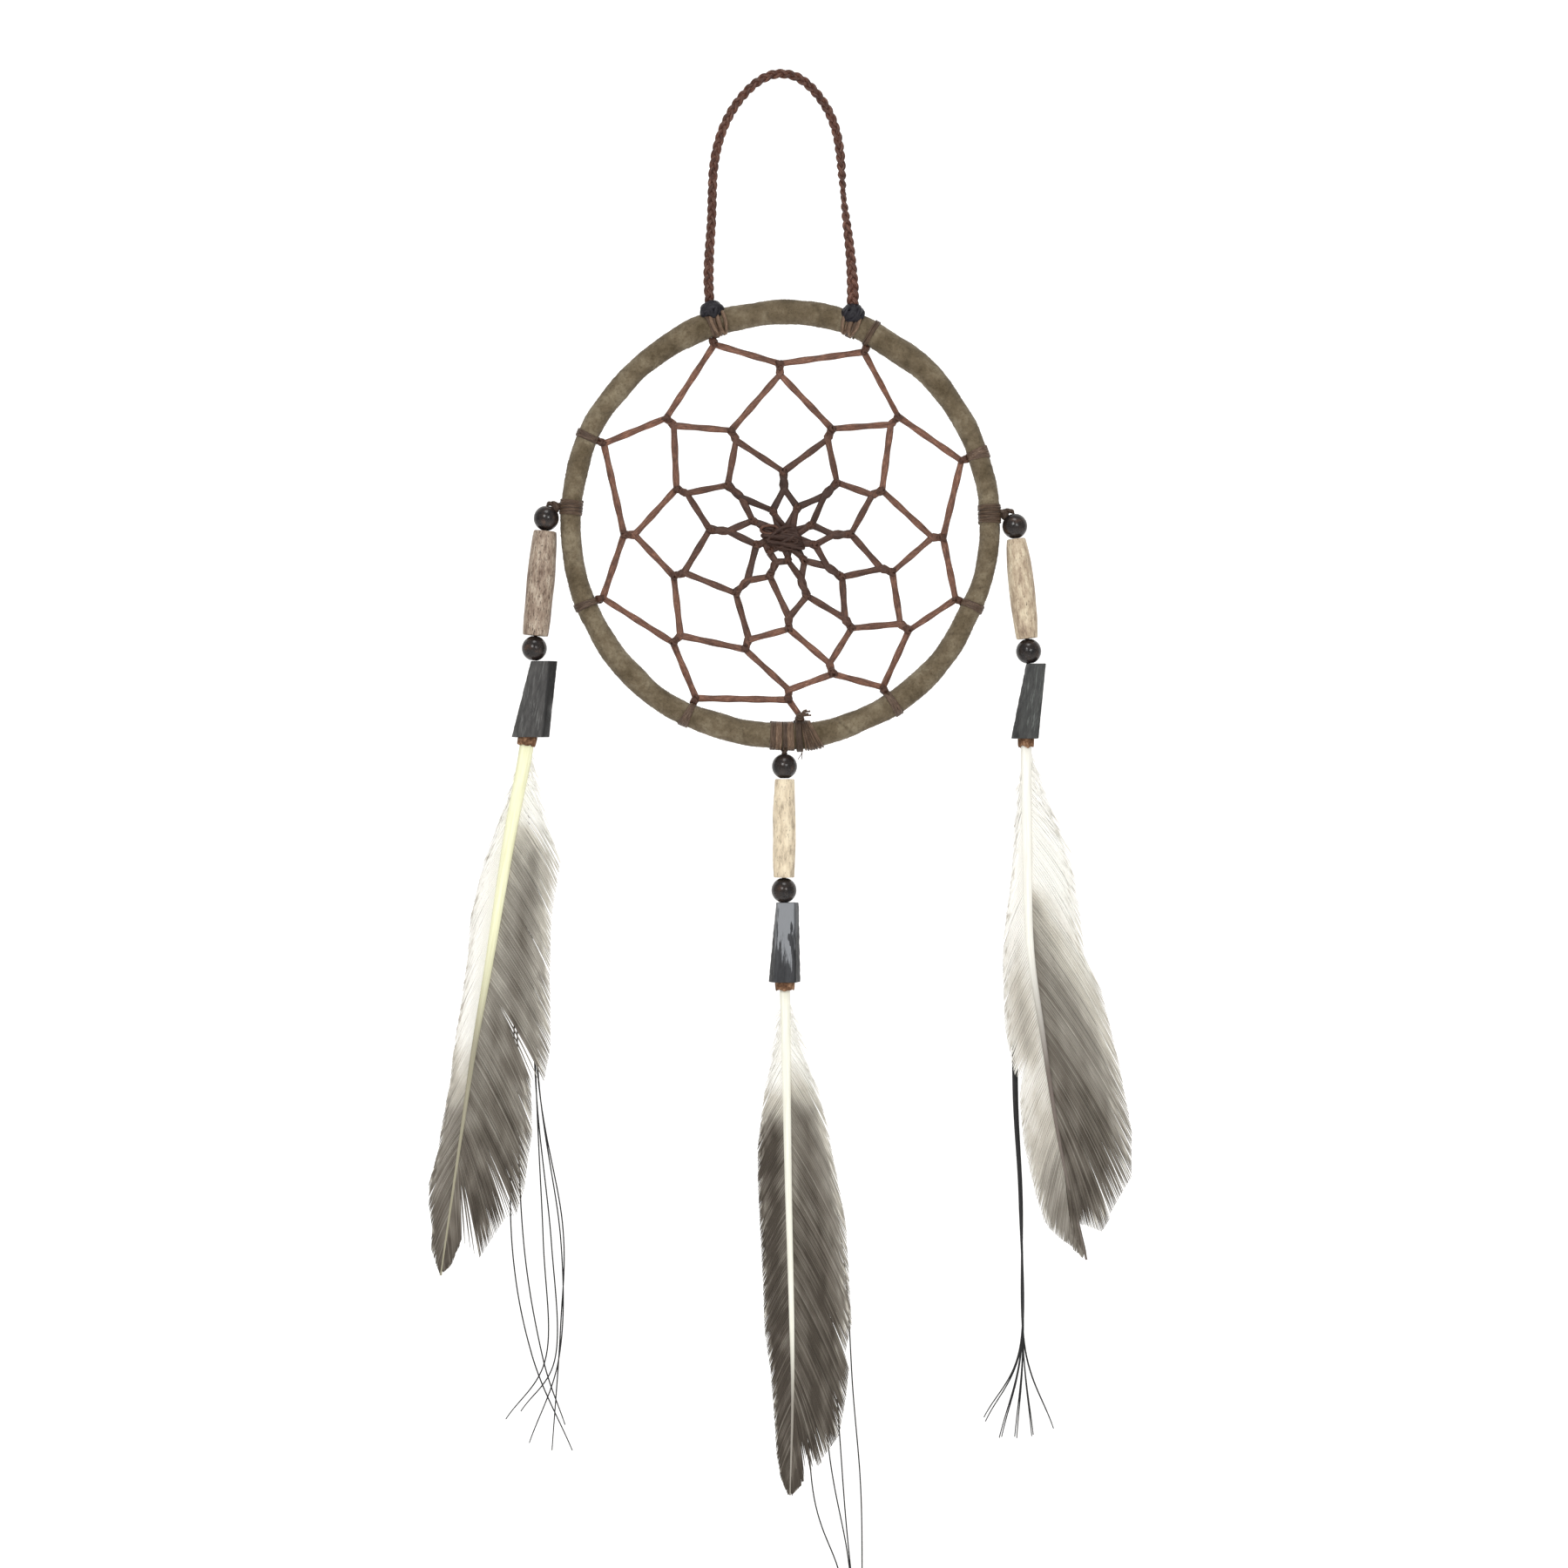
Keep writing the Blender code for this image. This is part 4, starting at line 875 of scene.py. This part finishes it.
def make_hanger_bindings():
    """Crossed turns of thin sinew, with loops of it lying over them below the knots."""
    rows = {
        "left": (108.3, ((107.9, 2.0), (106.2, 1.9)), ((109.4, 0.8), (108.2, -0.7))),
        "right": (70.1, ((71.4, 2.2), (69.4, 2.1)), ((70.8, 0.7), (69.0, -0.7))),
    }
    for side, (middle, loops, dark_turns) in rows.items():
        strands = Strands()
        wind(strands, middle, 3.8, 4, 0.42, 0.2, 51, lean=0.4, lift=-0.05)
        for place, lean in dark_turns:
            wind(strands, place, 0.9, 2, 0.38, 0.55, 52, lean=lean, lift=0.2)
        for place, width in loops:
            loop_over(strands, place, width, 0.3 * math.pi, 0.86 * math.pi, 0.62, 0.0)
        if side == "right":
            wind(strands, 64.2, 1.7, 3, 0.34, 0.5, 53, lean=-0.3, lift=-0.05)
        strands.piece(f"hanger_binding_{side}_wound", HANGER, "hoop", "sinew", f"hanger_binding_{side}")


def make_hanger_knots():
    """Black waxed knots: turns laid over one another in a ball that the braid runs into."""
    knots = (("left", (-23.4, -80.1), 4.6, 41), ("right", (24.9, -81.4), 4.8, 43))
    tube = 0.95
    for side, place, radius, seed in knots:
        draw = random.Random(seed)
        centre = at(*place, BRAID_SWING)
        strands = Strands()
        for number in range(11):
            axis = unit(np.array([draw.gauss(0, 0.8), draw.gauss(0, 0.6), draw.gauss(0, 1.0)]))
            first = unit(np.cross(axis, (0.3, 0.9, 0.2)))
            second = np.cross(axis, first)
            ring = circle(full_turn(28), first, second)
            reach = (radius - tube - 0.2 * (number % 3)) * np.array((1.0, 0.95, 0.82))
            path = centre + axis * draw.uniform(-0.8, 0.8) + ring * reach
            strands.sweep(path, ring, tube * 0.8, tube, shade=0.2, closed=True)
        strands.piece(f"hanger_knot_{side}_tied", WAXED, "hoop", "waxed_thread", f"hanger_knot_{side}")


# The net


def net_point(distance, degrees):
    a = math.radians(degrees)
    return NET_CENTRE + distance * np.array((math.cos(a), 0.0, math.sin(a)))


def anchor_point(degrees):
    return rim(degrees, np.array(math.pi), 1.1)


def add_string(strands, path, width, draw, shade):
    """A flat sinew string: its width lies mostly in the net, and it turns a little on its way."""
    path = resample(path, 1.1)
    n = len(path)
    tangent = unit(np.gradient(path, axis=0))
    level = unit(np.cross(tangent, FRONT))
    twist = draw.uniform(-0.2, 0.2) + np.linspace(0, draw.uniform(-0.45, 0.45), n)
    across = level * np.cos(twist)[:, None] + FRONT * np.sin(twist)[:, None]
    wide = width * (1 + 0.08 * np.sin(np.arange(n) * 0.7 + draw.uniform(0, 6)))
    strands.sweep(path, across, wide, 0.36, shade=shade)


def add_hitch(strands, place, inward, size, draw):
    """Turns of the string drawn tight where it hangs on the one before it."""
    sideways = np.cross(inward, FRONT)
    for shift, axis, reach in (
        (sideways * 0.5, sideways, 0.8),
        (-sideways * 0.5, sideways, 0.8),
        (inward * 1.2, inward + 0.3 * sideways, 0.62),
        (inward * 0.5, inward - 0.5 * sideways, 0.8),
        (inward * 0.1, sideways * 0.6 + inward, 0.9),
    ):
        axis = unit(axis + 0.25 * np.array([draw.gauss(0, 1) for _ in range(3)]))
        first = unit(np.cross(axis, FRONT + 0.01))
        second = np.cross(axis, first)
        ring = circle(full_turn(12), first * 0.8, second)
        path = place + shift * size + ring * reach * size
        strands.sweep(path, ring, 0.36 * size, 0.44 * size, shade=0.6, sides=6, closed=True)


ROW_WIDTHS = (1.14, 1.14, 1.16, 1.2)  # half the string's width, from the outer row in
ROW_PAIRS = (1.0, 3.2, 3.2, 5.2, 3.0)  # how far the two strings under a hitch run together
ROW_SHADES = (0.0, 0.1, 0.4, 0.65)


def pair_path(place, inward, reach, sign):
    """One string of the pair below a hitch: they turn once about each other before they part."""
    steps = np.linspace(0, 1, 9)[:, None]
    turn = math.pi * (1 + steps)
    off = np.cos(turn) * np.cross(inward, FRONT) + 0.8 * np.sin(turn) * FRONT
    return place + inward * reach * steps + 0.45 * sign * off


def make_net():
    """One long string: hitch k hangs on the string between hitches k - 9 and k - 8."""
    draw = random.Random(11)
    hitches = [anchor_point(a) for a in ANCHORS]
    hitches += [net_point(*spot) for row in HITCH_ROWS for spot in row]
    around = len(ANCHORS)
    inward = [unit(NET_CENTRE - place) for place in hitches]
    strands = Strands()
    for j in range(len(hitches) - around):
        row = j // around
        bend = hitches[j + around] + [0, 0.25, 0]
        start = pair_path(hitches[j], inward[j], ROW_PAIRS[row], 1)
        end = pair_path(hitches[j + 1], inward[j + 1], ROW_PAIRS[(j + 1) // around], -1)
        shade = ROW_SHADES[row] + draw.uniform(0.0, 0.2)
        add_string(strands, np.vstack([start, bend]), ROW_WIDTHS[row], draw, shade)
        add_string(strands, np.vstack([bend, end[::-1]]), ROW_WIDTHS[row], draw, shade)
    for k in range(len(hitches) - around, len(hitches)):
        for sign in (1, -1):
            start = pair_path(hitches[k], inward[k], ROW_PAIRS[-1], sign)
            goal = NET_CENTRE - inward[k] * 2.0 + np.cross(inward[k], FRONT) * sign * 1.4
            add_string(strands, np.vstack([start[:5], goal]), 1.15, draw, 0.75)
    for k, place in enumerate(hitches):
        add_hitch(strands, place, inward[k], 1.35 - 0.1 * (k // (2 * around)), draw)
    add_tangle(strands, draw)
    strands.piece("net_strings", SINEW, "hoop", "sinew", "web")


def add_tangle(strands, draw):
    """The knotted end of the string: loose turns, tight ones drawn sideways over them, and a loop."""
    centre = NET_CENTRE + np.array((-1.0, -0.4, -0.4))
    spots = []
    for number in range(60):
        a = number * 2.4 + draw.uniform(-0.5, 0.5)
        reach = draw.uniform(0.35, 1.0)
        off = (7.6 * reach * math.cos(a), draw.uniform(-1.2, 0.9), 4.2 * reach * math.sin(a))
        spots.append(centre + np.array(off))
    path = resample(smooth(spots, 800), 0.6)
    strands.sweep(path, FRONT, 0.5, 0.6, shade=0.8, sides=6)
    angles = full_turn(40)
    for number in range(8):
        wide, tall = 7.2 - 0.45 * number, 0.8 + 0.24 * number
        tilt = 0.1 * (number - 3)
        x = np.cos(angles) * wide
        y = 0.7 * np.sin(2 * angles + number) - 1.1
        z = np.sin(angles) * tall + x * tilt - 1.2 + 0.35 * number
        strands.sweep(centre + np.stack([x, y, z], 1), FRONT, 0.42, 0.6, shade=0.85, sides=6, closed=True)
    ring = circle(angles, at(3.0, 0.0), at(0.0, 1.5, 0.3))
    strands.sweep(centre + at(-4.6, 3.0, -0.9) + ring, FRONT, 0.8, 0.5, shade=0.35, closed=True)


# Pendants


def lathe(profile, centre, down, steps, wobble, seed):
    """A closed profile of (radius, distance along) turned about an axis through centre."""
    down = unit(down)
    side = unit(np.cross(down, FRONT))
    other = np.cross(down, side)
    profile = np.asarray(profile, float)
    angles = full_turn(steps)
    n = len(profile)
    points, grain = [], []
    for r, along in profile:
        for a in angles:
            direction = side * math.cos(a) + other * math.sin(a)
            spot = Vector((math.cos(a) * 1.6 + seed, math.sin(a) * 1.6, along * 0.11))
            points.append(centre + down * along + direction * (r + wobble * noise.noise(spot)))
            grain.append((along, math.cos(a) * r + seed * 3.1, math.sin(a) * r))
    faces = []
    for i in range(n):
        j = (i + 1) % n
        for k in range(steps):
            m = (k + 1) % steps
            faces.append((i * steps + k, i * steps + m, j * steps + m, j * steps + k))
    return np.array(points), faces, np.array(grain)


def make_bead(name, place, down, body, seed):
    rim_angle = math.asin(BORE_RADIUS / BEAD_RADIUS) + 0.07
    angles = np.linspace(rim_angle, math.pi - rim_angle, 25)
    outside = [(BEAD_RADIUS * math.sin(a), -BEAD_RADIUS * math.cos(a)) for a in angles]
    height = -outside[0][1] - 0.12
    profile = outside + [(BORE_RADIUS, height), (BORE_RADIUS, -height)]
    points, faces, _ = lathe(profile, place, down, 44, 0.05, seed)
    make_piece(name + "_turned", points, faces, BEADS, body, (name,))


def make_hairpipe(side, spec, upper, lower, seed):
    down = unit(lower - upper)
    half = np.linalg.norm(lower - upper) / 2 - STACK_REACH
    radii = spec["pipe"]
    outside = [(radii[0] - 0.35, -half), (radii[0] - 0.08, 0.12 - half)]
    for along in np.linspace(-1, 1, 33):
        end = radii[0] if along < 0 else radii[2]
        bulge = max(math.cos(along * math.pi / 2), 0.0) ** 0.8
        outside.append((end + (radii[1] - end) * bulge, along * (half - 0.35)))
    outside += [(radii[2] - 0.08, half - 0.12), (radii[2] - 0.35, half)]
    profile = outside + [(BORE_RADIUS, half), (BORE_RADIUS, -half)]
    points, faces, grain = lathe(profile, (upper + lower) / 2, down, HAIRPIPE_SIDES, 0.22, seed)
    shade = np.repeat([0.0] * len(outside) + [BORE_SHADE] * 2, HAIRPIPE_SIDES)
    name = f"{side}_hairpipe"
    make_piece(name + "_turned", points, faces, BONE[side], f"{side}_pipe", (name,), shade, grain)


TIE_TWIST = 16.0  # how far the tie's two strands turn about each other, in radians


def make_tie(side, spec):
    """Two strands twisted together, from the hoop's binding down into the upper bead."""
    tie, bead = at(*spec["tie"]), at(*spec["beads"][0])
    down = unit(at(*spec["beads"][1]) - bead)
    top = bead - down * (BEAD_RADIUS + 0.1)
    foot = bead + down * (BEAD_RADIUS - 0.6)
    if side == "bottom":
        route = [tie + [0, 0, 1.2], (tie + bead) / 2, bead, foot]
    else:
        outwards = math.copysign(1.3, tie[0])
        route = [tie + [-outwards, -0.8, -0.9], (tie + top) / 2 + [0, -0.2, 0.3], top, bead, foot]
    path = smooth(route, 60)
    tangent = unit(np.gradient(path, axis=0))
    first = unit(np.cross(tangent, FRONT))
    second = np.cross(tangent, first)
    phase = np.linspace(0, TIE_TWIST, 60)
    # The strands close up inside the bead's bore.
    spread = np.interp(np.arange(60), (0, 20, 30, 59), (1.7, 1.2, 0.8, 0.8))
    strands = Strands()
    for turn in (0, math.pi):
        off = circle(phase + turn, first, second)
        strands.sweep(path + 0.38 * spread[:, None] * off, off, 0.4 * spread, 0.46 * spread, shade=0.6)
    if side != "bottom":
        lump = tie + np.array((0.15 * outwards, -0.3, -1.3))
        for tilt in (0.3, 1.2, 2.1, 2.8):
            first = np.array((math.cos(tilt), math.sin(tilt), 0.0))
            ring = circle(full_turn(14), first, np.array((0.0, 0.0, 1.0)))
            strands.sweep(lump + ring * (1.0, 0.9, 1.5), ring, 0.5, 0.6, shade=0.6, sides=6, closed=True)
    strands.piece(f"{side}_tie_twisted", BINDING, f"{side}_loop", "sinew", f"{side}_tie")


HORN_RINGS = 44
FACE_STEPS = 10
HORN_LENGTH = 26.0


def horn_outline(corners):
    """The outline's points, crowded towards its corners so that easing them rounds only the edges."""
    corners = np.array([(x, y, 0.0) for x, y in corners])
    dense = []
    for corner, after in zip(corners, np.roll(corners, -1, 0)):
        for k in range(FACE_STEPS):
            dense.append(corner + (after - corner) * (0.5 - 0.5 * math.cos(math.pi * k / FACE_STEPS)))
    dense = np.array(dense)
    for _ in range(2):
        dense = 0.25 * np.roll(dense, 1, 0) + 0.5 * dense + 0.25 * np.roll(dense, -1, 0)
    return dense


def scraped_at(side, fallen, across):
    """How worn the horn's front is, from how far down it and how far across."""
    rough = noise.noise(Vector((across * 0.75, fallen * 0.14, 3.0)))
    if side != "bottom":
        return 0.25 * rough
    crack = math.exp(-(((across - 1.3 - 0.25 * math.sin(fallen)) / 0.35) ** 2)) * (4 < fallen < 14)
    streaks = 0.35 * noise.noise(Vector((across * 1.7, fallen * 0.05, 9.0)))
    return 0.84 + 0.5 * rough + streaks - 0.04 * fallen - 0.8 * crack - 0.05 * abs(across) ** 1.5


def make_horn(side, spec):
    """The faceted taper, its edges worn round and its faces a little uneven."""
    top, foot = at(*spec["horn_top"]), at(*spec["horn_foot"])
    upper, lower = horn_outline(spec["top_outline"]), horn_outline(spec["foot_outline"])
    count = len(upper)
    points, grain, shade, worn = [], [], [], []
    levels = [0.0, *np.linspace(0.006, 0.994, HORN_RINGS), 1.0]
    for level in levels:
        ease = 0.3 if level in (0.0, 1.0) else 0.0
        ring = upper + (lower - upper) * level
        ring = ring * (1 - ease / np.linalg.norm(ring, axis=1, keepdims=True))
        for index, spot in enumerate(ring):
            place = top + (foot - top) * level + spot
            rough = noise.noise(Vector(place) * 0.55) * 0.14 + noise.noise(Vector(place) * 2.0) * 0.05
            fallen = HORN_LENGTH * level
            points.append(place + unit(spot) * rough)
            grain.append((fallen, spot[0] + 9 * len(side), spot[1]))
            # Painted shade on each of the horn's faces, from the pendant's list.
            shade.append(spec["facet_shade"][((index + 1) % count) // FACE_STEPS])
            worn.append(scraped_at(side, fallen, spot[0]))
    points, shade = np.array(points), np.array(shade)
    if side == "left":
        add_chip(points, shade, at(-77.3, -217.0, -1.4), 2.6, 0.85)
    if side == "right":
        add_chip(points, shade, at(81.2, -226.0, -4.4), 1.8, 0.4)
    faces = [tuple(range(count - 1, -1, -1))]
    for i in range(len(levels) - 1):
        for k in range(count):
            m = (k + 1) % count
            faces.append((i * count + k, i * count + m, (i + 1) * count + m, (i + 1) * count + k))
    faces.append(tuple(range((len(levels) - 1) * count, len(levels) * count)))
    body, name = f"{side}_feather", f"{side}_horn"
    grain = np.array(grain)
    obj = make_piece(name + "_cut", points, faces, HORN[side], body, (name,), shade, grain)
    add_attribute(obj.data, "worn", "FLOAT", "value", worn)
    obj.data.set_sharp_from_angle(angle=math.radians(38))


def add_chip(points, shade, place, reach, depth):
    """Presses a dent into the points near a place, and darkens it."""
    gap = np.linalg.norm(points - place, axis=1)
    bite = np.exp(-((gap / reach) ** 2) * 2.5)
    inward = unit(np.stack([points[:, 0].mean() - points[:, 0], -points[:, 1], 0 * gap], 1))
    points += inward * (bite * depth)[:, None]
    shade += (0.6 - shade) * bite


def make_plug(side, spec, seed):
    """Leather rolled round the quill, its cut end ragged."""
    (x, z), (dx, dz), radius = spec["plug"]
    down = unit(at(dx, dz))
    centre = at(x, z)
    outside = [(0, -3.6), (0, -1.0), (0.05, 0.6), (0, 1.6), (-0.05, 2.3), (-0.2, 2.7)]
    inside = [(-0.55, 2.75), (-0.75, 2.4), (-0.75, -3.6)]
    profile = [(radius + step, along) for step, along in outside + inside]
    points, faces, _ = lathe(profile, centre, down, 56, 0.35, seed)
    side_axis = unit(np.cross(down, FRONT))
    low = (points - centre) @ down
    angle = np.arctan2((points - centre) @ np.cross(down, side_axis), (points - centre) @ side_axis)
    spots = [(math.cos(a) * 2.5, math.sin(a) * 2.5, seed * 1.7) for a in angle]
    ragged = np.array([noise.noise(Vector(spot)) for spot in spots])
    weight = np.clip((low - 0.5) / 2.0, 0, 1)
    points = points + down * (ragged * 0.75 * weight)[:, None]
    name = f"{side}_plug"
    make_piece(name + "_rolled", points, faces, LEATHER, f"{side}_feather", (name,))


def shaft_lookup(spec):
    """The shaft's path and radii, then its heights, places across and radii from the tip up."""
    points = np.array([at(x, z) for x, z in spec["shaft"]])
    path = smooth(points, 120)
    order = np.argsort(path[:, 2])
    radii = np.interp(path[:, 2], points[::-1, 2], np.array(spec["radii"])[::-1])
    return path, radii, path[order, 2], path[order, 0], radii[order]


def make_shaft(side, spec):
    path, radii, *_ = shaft_lookup(spec)
    (x, z), (dx, dz), _ = spec["plug"]
    inside = at(x, z) - unit(at(dx, dz)) * 2.5
    path = np.vstack([inside, path])
    radii = np.concatenate([[radii[0] * 0.9], radii])
    strands = Strands()
    share = np.linspace(0, 1, len(path))
    fade_start, fade_end, darkest = spec["quill_fade"]
    shade = darkest * np.clip((share - fade_start) / (fade_end - fade_start), 0, 1)
    strands.sweep(path, unit(np.cross((0, 0, -1.0), FRONT)), radii, radii * 0.92, shade=shade, sides=16)
    strands.piece(f"{side}_quill", QUILL[side], f"{side}_feather", "quill", f"{side}_shaft")


def tone_at(table, z, out):
    """A vane's darkness at heights z, out being 0 at the shaft and 1 at its edge."""
    rows = np.array(table, float)[::-1]
    near, middle, edge = (np.interp(z, rows[:, 0], rows[:, i]) for i in (1, 2, 3))
    inner = near + (middle - near) * out * 2
    outer = middle + (edge - middle) * (out * 2 - 1)
    return np.where(out < 0.5, inner, outer)


def mottle(points, out, tone, seed, downy):
    """Cloudy patches, and flecks along the edge that are pale on dark and dark on pale."""
    clouds = np.array([noise.noise(Vector((x * 0.3, z * 0.13, seed))) for x, _, z in points])
    flecks = np.array([noise.noise(Vector((x * 1.1, z * 0.55, seed + 7))) for x, _, z in points])
    tone = tone * (1 + 0.32 * clouds)
    fleck = np.clip((flecks - 0.12) * 5, 0, 1) * np.clip((out - 0.72) / 0.2, 0, 1)
    target = np.where(tone > 0.2, 0.05, 0.3)
    return tone + (target - tone) * 0.75 * fleck * (1 - downy)


BARB_SPACING = 0.4
BARB_STEPS = 14
CLUMP_BARBS = (12, 55)  # the fewest and the most barbs that hang together
CLUMP_PULLS = (0.0, 0.02, 0.03, 0.12)  # how strongly a clump's barbs draw together
DOWNY = 26.0  # the length of the loose, downy top of a vane


def make_vane(side, spec, sign, name, seed):
    """Barbs leave the shaft, curve out and down to the vane's edge, and lie close over each other.
    Here and there a clump of them draws together and leaves a split."""
    draw = random.Random(seed)
    _, _, shaft_z, shaft_x, shaft_r = shaft_lookup(spec)
    table = np.array(spec["barbs"][sign], float)[::-1]
    top, tip = table[-1, 0], table[0, 0]
    end_z = table[:, 0] - table[:, 2]
    shaft_moves = np.interp(table[:, 0], shaft_z, shaft_x) - np.interp(end_z, shaft_z, shaft_x)
    end_out = shaft_moves + sign * table[:, 1]
    order = np.argsort(end_z)
    edge_z, edge_out = end_z[order], np.abs(end_out[order])
    strands = Strands()
    clump, clump_middle, pull = 0, 0.0, 0.0
    for number in range(int((top - tip) / BARB_SPACING)):
        root_z = top - number * BARB_SPACING
        if clump == 0:
            clump = draw.randint(*CLUMP_BARBS)
            clump_middle = root_z - clump * BARB_SPACING / 2
            pull = draw.choice(CLUMP_PULLS)
        clump -= 1
        downy = float(np.clip((root_z - (top - DOWNY)) / DOWNY, 0, 1))
        loose = draw.gauss(0, 0.15 + 1.2 * downy)
        reach = np.interp(root_z, table[:, 0], table[:, 1]) + 0.5 * loose
        fall = np.interp(root_z, table[:, 0], table[:, 2]) - loose - pull * (clump_middle - root_z)
        root_r = np.interp(root_z, shaft_z, shaft_r)
        shaft = np.interp(root_z, shaft_z, shaft_x)
        root = at(shaft + sign * root_r * 0.7, root_z)
        end = at(shaft + sign * max(reach, root_r + 0.25), root_z - fall)
        middle = root + (end - root) * (0.56, 0.0, 0.44)
        t = np.linspace(0, 1, BARB_STEPS)
        path = np.outer((1 - t) ** 2, root) + np.outer(2 * t * (1 - t), middle) + np.outer(t**2, end)
        belly = 0.55 * min(reach / 12, 1) * np.sin(t * math.pi * 0.8)
        path[:, 1] = 0.03 * (number % 3) - 0.25 - belly + 0.6 * downy * t * np.sin(t * 5 + number)
        out = np.abs(path[:, 0] - np.interp(path[:, 2], shaft_z, shaft_x))
        out = np.clip(out / np.maximum(np.interp(path[:, 2], edge_z, edge_out), 1.0), 0, 1)
        tone = mottle(path, out, tone_at(spec["tones"][sign], path[:, 2], out), seed, downy)
        tone = np.clip(tone * (1 + 0.11 * draw.gauss(0, 1)), 0, 1)
        wide = 0.3 * (1 - 0.8 * t**4) * (1 - 0.45 * downy)
        strands.sweep(path, unit(np.cross(unit(end - root), FRONT)), wide, 0.06, shade=tone, sides=4)
    node_name = f"{side}_{name}"
    strands.piece(node_name + "_barbs", FEATHER, f"{side}_feather", "feather", node_name)


HAIR_RADIUS, HAIR_TIP = 0.27, 0.2
ROOT_TURNS = 5  # of the thread that binds a lock's root


def make_hair(side, spec, seed):
    """Horsehair from behind the quill, mostly straight, spreading or drawn together at its end."""
    draw = random.Random(seed)
    (x, z), (dx, dz), radius = spec["plug"]
    root = at(x, z) + unit(at(dx, dz)) * 3.1 + np.array((0, radius + 0.6, 0))
    strands = Strands()
    per_route = 2 if side == "right" else 1
    for number, hair in enumerate(spec["hairs"]):
        depth = 1.5 + 0.55 * number
        for copy in range(per_route):
            off = np.array((draw.gauss(0, 1), 0.25 * draw.gauss(0, 1), 0)) * spec["spread"]
            ends = draw.uniform(-1, 1) * (1.4 if copy else 0.0)
            turn = number * 1.3 + copy
            start = root + np.array((0.5 * math.cos(turn), 0.5 * math.sin(turn), 0))
            route = [start, root + [0, 0, -6.0] + off * 0.5]
            route += [at(px, pz, depth) + off * 0.6 for px, pz in hair[:-1]]
            route.append(at(*hair[-1], depth) + off + (ends, 0, draw.uniform(-1.5, 1.5)))
            path = smooth(route, 90)
            radii = (HAIR_RADIUS, HAIR_RADIUS, HAIR_TIP)
            taper = np.interp(np.linspace(0, 1, len(path)), (0, 0.9, 1), radii)
            strands.sweep(path, FRONT, taper, taper, shade=0.0, sides=6)
    ring = circle(full_turn(20), np.array((1.0, 0.0, 0.0)), np.array((0.0, 1.0, 0.0)))
    for turn in range(ROOT_TURNS):
        path = root + np.array((0, 0, -1.0 - 0.5 * turn)) + ring * np.array((0.95, 0.8, 0))
        strands.sweep(path, ring, 0.2, 0.26, shade=0.5, sides=6, closed=True)
    strands.piece(f"{side}_horsehair", HAIR, f"{side}_feather", "horsehair", f"{side}_hair")


def make_pendant(side, spec, seed):
    upper, lower = (at(*p) for p in spec["beads"])
    down = lower - upper
    make_tie(side, spec)
    make_bead(f"{side}_bead_upper", upper, down, f"{side}_upper", seed)
    make_bead(f"{side}_bead_lower", lower, down, f"{side}_lower", seed + 1)
    make_hairpipe(side, spec, upper, lower, seed + 2)
    make_horn(side, spec)
    make_plug(side, spec, seed + 3)
    make_shaft(side, spec)
    make_vane(side, spec, -1, "vane_left", seed + 4)
    make_vane(side, spec, 1, "vane_right", seed + 5)
    make_hair(side, spec, seed + 6)


def dress_frame():
    """The CAD nodes that stay, all of them inside others, get finishes of their own."""
    inner = inner_sinew_look()
    looks = {"hoop_core": wood_look()}
    for side in PENDANTS:
        looks[f"{side}_cord"] = inner
        looks[f"{side}_cord_knot"] = inner
    for name, look in looks.items():
        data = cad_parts[name].data
        data.materials.clear()
        data.materials.append(look)


make_camera()
make_braid()
make_stage()
make_suede()
make_web_turns()
make_side_bindings()
make_bottom_binding()
make_hanger_bindings()
make_hanger_knots()
make_net()
for number, (pendant, parts) in enumerate(PENDANTS.items()):
    make_pendant(pendant, parts, 100 + 10 * number)
dress_frame()
